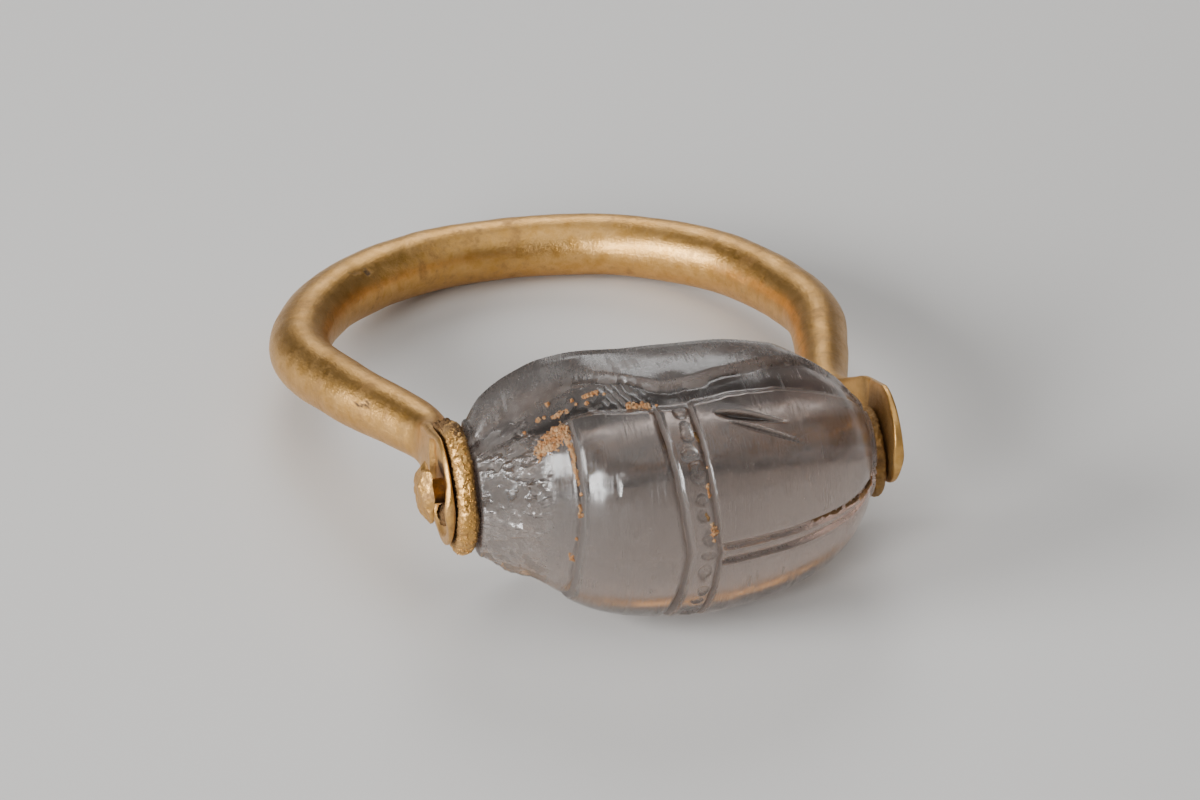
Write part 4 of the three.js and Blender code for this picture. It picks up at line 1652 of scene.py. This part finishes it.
@dataclass
class Pin:
    """The gold pin through the crystal, burred over outside both plates."""

    place: Place
    finishes: Finishes
    radius: float = 0.5
    head_radius: float = 1.25
    head_rise: float = 0.56
    tail_rise: float = 0.3
    facets: int = 11
    facet_bite: float = 0.86
    around: int = 160
    facet_turn: float = 2.399963
    facet_lean: float = 1.35
    ragged: float = 0.03
    dome_steps: int = 40
    shaft_steps: int = 30
    under_steps: int = 7

    def seat(self, terminal: Terminal) -> float:
        """Where the underside of a head lies along the axis."""
        return terminal.end.value * (terminal.plate_to + terminal.seat_gap)

    def profile(self) -> tuple[np.ndarray, np.ndarray]:
        """The pin's outline from one end to the other.

        Returns:
            Places along the axis, and the radius at each.
        """
        head_seat, tail_seat = self.seat(HEAD_TERMINAL), self.seat(TAIL_TERMINAL)
        swing = np.linspace(0.02, 1.0, self.dome_steps) * QUARTER_TURN
        under = np.linspace(self.head_radius, self.radius, self.under_steps + 1)[1:]
        shaft = np.linspace(head_seat, tail_seat, self.shaft_steps)[1:-1]
        dome = self.head_radius * np.sin(swing)
        x = [head_seat - self.head_rise * np.cos(swing), np.full(self.under_steps, head_seat), shaft,
             np.full(self.under_steps, tail_seat), tail_seat + self.tail_rise * np.cos(swing[::-1])]
        r = [dome, under, np.full(len(shaft), self.radius), under[::-1], dome[::-1]]
        return np.concatenate(x), np.concatenate(r)

    def hammered(self, points: np.ndarray) -> np.ndarray:
        """Flattens the head end where hammer blows fell.

        Args:
            points: the pin's points, one row each.

        Returns:
            The points, cut back to a few flats.
        """
        seat = np.array([self.seat(HEAD_TERMINAL), 0.0, 0.0])
        shape = np.array([self.head_rise, self.head_radius, self.head_radius])
        local = (points - seat) / shape
        on_head = points[:, 0] < seat[0] - 1e-6
        for k in range(self.facets):
            bearing = self.facet_turn * k + 0.5
            rise = math.sqrt(k / self.facets) * self.facet_lean
            facing = np.array([-math.cos(rise), math.sin(rise) * math.cos(bearing),
                               math.sin(rise) * math.sin(bearing)])
            excess = np.maximum(local @ facing - self.facet_bite + 0.035 * math.sin(5.3 * k), 0.0)
            local = local - np.where(on_head, excess, 0.0)[:, None] * facing
        return np.where(on_head[:, None], seat + local * shape, points)

    def build(self) -> bpy.types.Object:
        """Makes the pin.

        Returns:
            The piece that stands for the solid of the pin.
        """
        x, r = self.profile()
        turn = np.linspace(0.0, FULL_TURN, self.around, endpoint=False)
        ragged = 1.0 + 0.07 * np.sin(3.0 * turn + 0.6) + 0.04 * np.sin(7.0 * turn)
        radii = r[:, None] * np.where(r[:, None] > 1.01 * self.radius, ragged, 1.0)
        radii = np.where(np.abs(x)[:, None] < HEAD_TERMINAL.plate_from, np.minimum(radii, self.radius), radii)
        along = np.broadcast_to(x[:, None], radii.shape)
        rings = np.stack([along, radii * np.cos(turn), radii * np.sin(turn)], -1)
        points = self.hammered(rings.reshape(-1, 3))
        on_heads = np.abs(points[:, :1]) > HEAD_TERMINAL.plate_to
        dents = (self.ragged * uneven(points, 0.25, 4, 31.0))[:, None]
        points = points + np.array([1.0, 0.6, 0.6]) * dents * on_heads
        # Painted shade: the pin is darker everywhere but on the head's outer dome, for the shaft in the gap
        # under the head and inside the crystal; the noise patches on top are real soil.
        outward = -(points[:, 0] + HEAD_TERMINAL.plate_to)
        soil = 0.3 * (1.0 - ramp(outward, 0.2, 0.42)) + 0.5 * ramp(uneven(points, 0.4, 4, 33.0), -0.1, 0.35)
        chart = np.stack(np.broadcast_arrays(x[:, None], turn[None, :]), -1).reshape(-1, 2)
        shell = Shell(points, capped_faces(len(x), self.around), {"dirt_and_shade": np.clip(soil, 0.0, 1.0)}, chart)
        piece = shell.build("gold_pin", self.place)
        return hand_over(piece, self.finishes.gold, Body.RING, ("pivot_pin",))


# Earth and grains


@dataclass(frozen=True)
class Crust:
    """A patch of dry earth on the beetle, from one (along, turn) to another, with its half width in mm."""

    start: tuple[float, float]
    stop: tuple[float, float]
    half_width: float
    thickness: float


@dataclass(frozen=True)
class Crumb:
    """A single crumb of earth on the beetle, by its place along and round it and its radius in mm."""

    along: float
    turn: float
    radius: float


@dataclass
class Earth:
    """Earth that has stayed in the carving, and darker soil packed round the plates."""

    place: Place
    finishes: Finishes
    scarab: Scarab
    crusts: tuple[Crust, ...] = (
        Crust((-5.72, 54.6), (-4.95, 59.6), 0.44, 0.12),
        Crust((-5.15, 62.0), (-4.8, 60.8), 0.2, 0.09),
        Crust((-4.82, 54.0), (-4.70, 44.0), 0.14, 0.04),
        Crust((-4.76, 44.0), (-4.66, 33.0), 0.11, 0.03),
        Crust((-4.69, 23.0), (-4.69, 18.5), 0.12, 0.05),
        Crust((-5.0, -5.0), (-4.97, -7.0), 0.16, 0.07),
        Crust((-4.95, 72.6), (-4.55, 74.2), 0.2, 0.09),
        Crust((-3.65, 78.0), (-3.3, 78.8), 0.18, 0.08),
        Crust((-2.2, 64.6), (-1.55, 63.0), 0.2, 0.1),
        Crust((0.12, 28.0), (0.17, 23.8), 0.1, 0.06),
        Crust((0.29, 13.4), (0.31, 9.6), 0.16, 0.09),
        Crust((6.9, 1.4), (7.65, 1.0), 0.1, 0.05),
    )
    crumbs: tuple[Crumb, ...] = (
        Crumb(-5.5, 77.0, 0.11), Crumb(-5.3, 76.2, 0.07), Crumb(-5.05, 85.0, 0.1), Crumb(-4.1, 75.0, 0.06),
        Crumb(-3.7, 73.7, 0.09), Crumb(-3.0, 76.5, 0.06), Crumb(-6.1, 73.0, 0.07), Crumb(-4.2, 79.5, 0.08),
        Crumb(-5.85, 51.0, 0.06), Crumb(-5.2, 50.5, 0.05), Crumb(-4.6, 28.0, 0.07), Crumb(-4.85, 6.0, 0.06),
        Crumb(0.2, 34.0, 0.06), Crumb(0.33, 6.5, 0.07), Crumb(-1.2, 62.5, 0.06),
    )
    stains: tuple[Crust, ...] = (
        Crust((4.5, 3.6), (5.1, 3.3), 0.12, 0.045),
        Crust((5.15, 3.2), (5.9, 3.0), 0.11, 0.045),
        Crust((6.2, 2.6), (6.8, 2.4), 0.12, 0.05),
        Crust((7.0, 2.2), (7.5, 2.0), 0.1, 0.05),
        Crust((-0.05, 47.0), (0.05, 44.0), 0.11, 0.04),
        Crust((0.02, 17.5), (0.1, 15.5), 0.1, 0.04),
    )
    packed: tuple[tuple[Point, Point], ...] = (
        ((-9.3, -1.45, -0.22), (0.18, 0.42, 0.36)),
        ((-9.3, -0.95, -0.52), (0.2, 0.42, 0.42)),
        ((-9.3, -0.4, -0.9), (0.17, 0.4, 0.4)),
        ((-8.74, 0.8, 2.36), (0.32, 0.6, 0.15)),
        ((-8.6, 0.1, 2.6), (0.24, 0.5, 0.08)),
        ((-8.98, 1.5, 1.95), (0.2, 0.4, 0.2)),
    )
    sunk: float = 0.015
    finer: int = 3
    reach: float = 1.9
    degree: float = 0.08
    lump_rows: int = 26
    lump_columns: int = 40

    def nearest(self, skin: Skin, along: float, turn: float) -> int:
        """The number of the beetle's point that is nearest to a place.

        Args:
            skin: the beetle's surface.
            along: the place along the axis.
            turn: its degrees of turn.

        Returns:
            The point's number, ring after ring.
        """
        return int(np.argmin(np.hypot(skin.along - along, (skin.turn - turn) * self.degree)))

    def patch(self, crust: Crust, skin: Skin, number: int) -> Shell:
        """One crust, as a thin closed shell that dips under the crystal's surface at its edge.

        Args:
            crust: where it lies and how thick it is.
            skin: the beetle's surface.
            number: which crust it is, for its pattern.

        Returns:
            The crust's shell.
        """
        radius = np.linalg.norm(skin.body[..., 1:], axis=-1)
        a, b = np.array(crust.start), np.array(crust.stop)
        to_mm = np.array([1.0, math.radians(1.0) * radius.ravel()[self.nearest(skin, *a)]])
        run = (b - a) * to_mm
        place = np.stack([skin.along - a[0], skin.turn - a[1]], -1) * to_mm
        share = np.clip(place @ run / max(1e-6, run @ run), 0.0, 1.0)
        away = np.linalg.norm(place - share[..., None] * run, axis=-1) / crust.half_width
        window = tuple(slice(found.min(), found.max() + 1) for found in np.nonzero(away < self.reach))
        points, normals = finer(skin.points[window], self.finer), finer(skin.normals[window], self.finer)
        ragged = finer(away[window][..., None], self.finer)[..., 0]
        ragged = ragged + 0.5 * uneven(points, 0.45, 3, 41.0 + number)
        ragged = ragged + 0.45 * uneven(points, 0.11, 3, 51.0 + number)
        lumps = 0.65 + 0.95 * uneven(points, 0.13, 4, 61.0 + number)
        height = (crust.thickness * lumps + self.sunk) * (1.0 - ramp(ragged, 0.3, 1.0)) - self.sunk
        top = points + height[..., None] * normals
        bottom = points - self.sunk * normals
        return lidded(top, bottom, height > 0.0)

    def lump(self, centre: Point, size: Point, number: int) -> Shell:
        """A lump of earth.

        Args:
            centre: its middle.
            size: its half sizes.
            number: which lump it is, for its pattern.

        Returns:
            The lump's shell.
        """
        rows, columns = self.lump_rows, self.lump_columns
        rise = np.linspace(0.04, math.pi - 0.04, rows)[:, None]
        turn = np.linspace(0.0, FULL_TURN, columns, endpoint=False)
        ball = np.stack([np.sin(rise) * np.cos(turn), np.sin(rise) * np.sin(turn),
                         np.broadcast_to(np.cos(rise), (rows, columns))], -1).reshape(-1, 3)
        ball = ball * (1.0 + 0.35 * uneven(ball, 0.6, 4, 71.0 + number))[:, None]
        return Shell(np.array(centre) + ball * np.array(size), capped_faces(rows, columns))

    def crumb(self, crumb: Crumb, skin: Skin, number: int) -> Shell:
        """A crumb of earth, half sunk in the crystal's surface.

        Args:
            crumb: where it lies and its size.
            skin: the beetle's surface.
            number: which crumb it is, for its pattern.

        Returns:
            The crumb's shell.
        """
        nearest = self.nearest(skin, crumb.along, crumb.turn)
        spot, normal = skin.points.reshape(-1, 3)[nearest], skin.normals.reshape(-1, 3)[nearest]
        return self.lump(tuple(spot + 0.2 * crumb.radius * normal), (crumb.radius,) * 3, number)

    def build(self) -> list[bpy.types.Object]:
        """Makes the crusts and stains on the crystal and the packed soil at the plates.

        Returns:
            The pieces.
        """
        skin = self.scarab.skin()
        patches = [self.patch(crust, skin, k) for k, crust in enumerate(self.crusts)]
        stains = [self.patch(crust, skin, k) for k, crust in enumerate(self.stains, 50)]
        crumbs = [self.crumb(crumb, skin, k) for k, crumb in enumerate(self.crumbs, 90)]
        lumps = [self.lump(centre, size, k) for k, (centre, size) in enumerate(self.packed)]
        pieces = []
        for name, shells, material, body in (
                ("earth_crusts", patches + crumbs, self.finishes.earth, Body.STONE),
                ("soil_stains", stains, self.finishes.soil, Body.STONE),
                ("soil_at_plates", lumps, self.finishes.soil, Body.RING)):
            piece = joined(shells).build(name, self.place)
            pieces.append(hand_over(piece, material, body))
        return pieces


def finer(grid: np.ndarray, factor: int) -> np.ndarray:
    """A grid with more rows and columns, read straight between its own.

    Args:
        grid: values as rows by columns by parts.
        factor: how many steps there are for each of its own.

    Returns:
        The finer grid.
    """
    for axis in (0, 1):
        count = grid.shape[axis]
        at = np.linspace(0.0, count - 1.0, (count - 1) * factor + 1)
        low = np.minimum(at.astype(int), max(count - 2, 0))
        share = np.expand_dims(at - low, tuple(k for k in range(3) if k != axis))
        after = np.take(grid, np.minimum(low + 1, count - 1), axis)
        grid = np.take(grid, low, axis) * (1.0 - share) + after * share
    return grid


def lidded(top: np.ndarray, bottom: np.ndarray, kept: np.ndarray) -> Shell:
    """A closed shell from two grids of points that lie over each other.

    Args:
        top: the upper grid, as rows by columns by 3.
        bottom: the lower grid, alike.
        kept: which points the shell may use; a cell needs all four of its corners.

    Returns:
        The shell, with walls along its edges.
    """
    rows, columns = kept.shape
    whole = kept[:-1, :-1] & kept[1:, :-1] & kept[1:, 1:] & kept[:-1, 1:]
    number = np.arange(rows * columns).reshape(rows, columns)
    quads = np.stack([number[:-1, :-1], number[1:, :-1], number[1:, 1:], number[:-1, 1:]], -1)[whole]
    under = rows * columns
    sides = {(int(quad[k]), int(quad[(k + 1) % 4])) for quad in quads for k in range(4)}
    walls = [(b, a, a + under, b + under) for a, b in sorted(sides) if (b, a) not in sides]
    faces = [tuple(f) for f in np.concatenate([quads, quads[:, ::-1] + under]).tolist()] + walls
    used = np.unique(np.array(faces, int))
    fresh = np.zeros(2 * under, int)
    fresh[used] = np.arange(len(used))
    points = np.concatenate([top.reshape(-1, 3), bottom.reshape(-1, 3)])[used]
    return Shell(points, [tuple(fresh[list(face)].tolist()) for face in faces])


def joined(shells: list[Shell]) -> Shell:
    """Puts several shells together.

    Args:
        shells: the shells.

    Returns:
        One shell that holds them all.
    """
    points, faces, start = [], [], 0
    for shell in shells:
        points.append(shell.points)
        faces += [tuple(corner + start for corner in face) for face in shell.faces]
        start += len(shell.points)
    return Shell(np.concatenate(points), faces)


class GrainScatter:
    """Strews small grains over a piece, as a mesh of their own."""

    ROUNDS = 2
    LEAST: Point = (0.45, 0.45, 0.35)
    MOST: Point = (1.25, 1.25, 0.8)

    def __init__(self) -> None:
        """Lays out the tree of nodes with its named inputs."""
        self.tree = bpy.data.node_groups.new("scatter grains", "GeometryNodeTree")
        sockets = self.tree.interface
        sockets.new_socket("Surface", in_out="INPUT", socket_type="NodeSocketGeometry")
        self.names: dict[str, str] = {}
        for name, kind in (("Density", "NodeSocketFloat"), ("Grain Size", "NodeSocketFloat"),
                           ("Seed", "NodeSocketInt"), ("Material", "NodeSocketMaterial")):
            self.names[name] = sockets.new_socket(name, in_out="INPUT", socket_type=kind).identifier
        sockets.new_socket("Grains", in_out="OUTPUT", socket_type="NodeSocketGeometry")
        nodes, links = self.tree.nodes, self.tree.links
        start, end = nodes.new("NodeGroupInput"), nodes.new("NodeGroupOutput")
        strew = nodes.new("GeometryNodeDistributePointsOnFaces")
        grain = nodes.new("GeometryNodeMeshIcoSphere")
        grain.inputs["Subdivisions"].default_value = self.ROUNDS
        sizes = nodes.new("FunctionNodeRandomValue")
        sizes.data_type = "FLOAT_VECTOR"
        sizes.inputs[0].default_value, sizes.inputs[1].default_value = self.LEAST, self.MOST
        put = nodes.new("GeometryNodeInstanceOnPoints")
        real = nodes.new("GeometryNodeRealizeInstances")
        smooth = nodes.new("GeometryNodeSetShadeSmooth")
        dress = nodes.new("GeometryNodeSetMaterial")
        for source, target in (
                (start.outputs["Surface"], strew.inputs["Mesh"]),
                (start.outputs["Density"], strew.inputs["Density"]),
                (start.outputs["Seed"], strew.inputs["Seed"]),
                (start.outputs["Seed"], sizes.inputs["Seed"]),
                (start.outputs["Grain Size"], grain.inputs["Radius"]),
                (strew.outputs["Points"], put.inputs["Points"]),
                (grain.outputs["Mesh"], put.inputs["Instance"]),
                (strew.outputs["Rotation"], put.inputs["Rotation"]),
                (sizes.outputs[0], put.inputs["Scale"]),
                (put.outputs["Instances"], real.inputs["Geometry"]),
                (real.outputs["Geometry"], smooth.inputs["Geometry"]),
                (smooth.outputs["Geometry"], dress.inputs["Geometry"]),
                (start.outputs["Material"], dress.inputs["Material"]),
                (dress.outputs["Geometry"], end.inputs["Grains"])):
            links.new(source, target)

    def strew(self, base: bpy.types.Object, name: str, density: float, size: float, seed: int,
              material: bpy.types.Material) -> bpy.types.Object:
        """Strews grains over a piece.

        Args:
            base: the piece.
            name: the grains' own name.
            density: grains to a square millimetre.
            size: a grain's radius in millimetres.
            seed: which pattern.
            material: the grains' finish.

        Returns:
            The grains as one plain mesh.
        """
        modifier = base.modifiers.new("grains", "NODES")
        modifier.node_group = self.tree
        modifier[self.names["Density"]] = density / MILLIMETRE**2
        modifier[self.names["Grain Size"]] = size * MILLIMETRE
        modifier[self.names["Seed"]] = seed
        modifier[self.names["Material"]] = material
        graph = bpy.context.evaluated_depsgraph_get()
        mesh = bpy.data.meshes.new_from_object(base.evaluated_get(graph))
        base.modifiers.remove(modifier)
        mesh.name = name
        grains = bpy.data.objects.new(name, mesh)
        bpy.context.scene.collection.objects.link(grains)
        return grains


# Setting


@dataclass(frozen=True)
class Lamp:
    """A soft light that faces the ring.

    Its bearing is in degrees round from straight in front, positive to the right, its height in degrees above
    the table, its distance and size in metres and its power in watts.
    """

    name: str
    bearing: float
    height: float
    distance: float
    size: tuple[float, float]
    watts: float

    def build(self) -> None:
        """Hangs the light."""
        lamp = bpy.data.lights.new(self.name, "AREA")
        lamp.shape = "ELLIPSE"
        lamp.size, lamp.size_y = self.size
        lamp.energy = self.watts
        holder = bpy.data.objects.new(self.name, lamp)
        turn, rise = math.radians(self.bearing), math.radians(self.height)
        away = Vector((math.sin(turn) * math.cos(rise), -math.cos(turn) * math.cos(rise), math.sin(rise)))
        holder.location = away * self.distance
        holder.rotation_euler = away.to_track_quat("Z", "Y").to_euler()
        bpy.context.scene.collection.objects.link(holder)


@dataclass
class Studio:
    """Pale floor, soft lights and the camera at the photograph's angle."""

    place: Place
    elevation: float = 31.0
    yaw: float = 13.3
    distance: float = 200.0
    focal_pixels: float = 5000.0
    image_width: float = 1200.0
    image_height: float = 800.0
    pivot_pixel: tuple[float, float] = (667.5, 462.0)
    sensor: float = 36.0
    clip: tuple[float, float] = (0.01, 10.0)
    floor_half: float = 1.5
    sky: Colour = (1.0, 0.97, 0.94)
    sky_strength: float = 0.12
    lamps: tuple[Lamp, ...] = (
        Lamp("key", -44.0, 15.0, 0.5, (0.16, 0.26), 2.7),
        Lamp("side", -84.0, 22.0, 0.55, (0.3, 0.24), 3.7),
        Lamp("overhead", 10.0, 76.0, 0.5, (0.62, 0.62), 1.2),
        Lamp("fill", 62.0, 30.0, 0.6, (0.4, 0.4), 0.25),
        Lamp("back", 168.0, 38.0, 0.5, (0.26, 0.26), 0.7),
    )

    def camera(self) -> None:
        """Makes the camera that sees the axis' middle where the photograph does."""
        rise, turn = math.radians(self.elevation), math.radians(self.yaw)
        ahead = Vector((math.cos(rise) * math.sin(turn), math.cos(rise) * math.cos(turn), -math.sin(rise)))
        right = Vector((math.cos(turn), -math.sin(turn), 0.0))
        up = right.cross(ahead)
        scale = self.distance / self.focal_pixels
        across = (self.pivot_pixel[0] - 0.5 * self.image_width) * scale
        down = (self.pivot_pixel[1] - 0.5 * self.image_height) * scale
        eye = self.place.pivot + MILLIMETRE * (up * down - ahead * self.distance - right * across)
        lens = bpy.data.cameras.new("camera")
        lens.sensor_width = self.sensor
        lens.lens = self.focal_pixels / self.image_width * self.sensor
        lens.clip_start, lens.clip_end = self.clip
        camera = bpy.data.objects.new("camera", lens)
        camera.matrix_world = Matrix.Translation(eye) @ Matrix((right, up, -ahead)).transposed().to_4x4()
        bpy.context.scene.collection.objects.link(camera)
        bpy.context.scene.camera = camera

    def build(self) -> None:
        """Sets up the floor, the lights and the camera."""
        mesh = bpy.data.meshes.new("floor")
        half = self.floor_half
        corners = [(-half, -half, 0), (half, -half, 0), (half, half, 0), (-half, half, 0)]
        mesh.from_pydata(corners, [], [(0, 1, 2, 3)])
        mesh.materials.append(FloorFinish().build())
        floor = bpy.data.objects.new("floor", mesh)
        bpy.context.scene.collection.objects.link(floor)
        for lamp in self.lamps:
            lamp.build()
        world = bpy.data.worlds.new("studio")
        world.use_nodes = True
        background = world.node_tree.nodes["Background"]
        background.inputs["Color"].default_value = (*self.sky, 1.0)
        background.inputs["Strength"].default_value = self.sky_strength
        bpy.context.scene.world = world
        self.camera()


def main() -> None:
    """Builds the ring around its solids and sets it on the floor."""
    logging.basicConfig(level=logging.INFO, format="%(name)s: %(message)s")
    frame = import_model()
    place = Place(Vector(frame["joints"][0]["pos_m"]))
    finishes = Finishes.made()
    scarab = Scarab(place, finishes)
    scarab.build()
    Hoop(place, finishes).build()
    head_collar = Collar(place, finishes, HEAD_TERMINAL, "gold_head_collar", "head_collar").build()
    tail_collar = Collar(place, finishes, TAIL_TERMINAL, "gold_tail_collar", "tail_collar", 0.6).build()
    Pin(place, finishes).build()
    crusts, _, soil = Earth(place, finishes, scarab).build()
    scatter = GrainScatter()
    for base, name, density, size, seed, material, body, slot in (
            (head_collar, "head_collar_grains", 34.0, 0.045, 3, finishes.gold, Body.RING, Slot.GOLD),
            (tail_collar, "tail_collar_grains", 10.0, 0.035, 5, finishes.gold, Body.RING, Slot.GOLD),
            (crusts, "earth_crumbs", 40.0, 0.04, 7, finishes.earth, Body.STONE, Slot.EARTH),
            (soil, "soil_crumbs", 14.0, 0.04, 9, finishes.soil, Body.RING, Slot.EARTH)):
        grains = scatter.strew(base, name, density, size, seed, material)
        hand_over(grains, material, body)
    Studio(place).build()


if __name__ == "__main__":
    main()
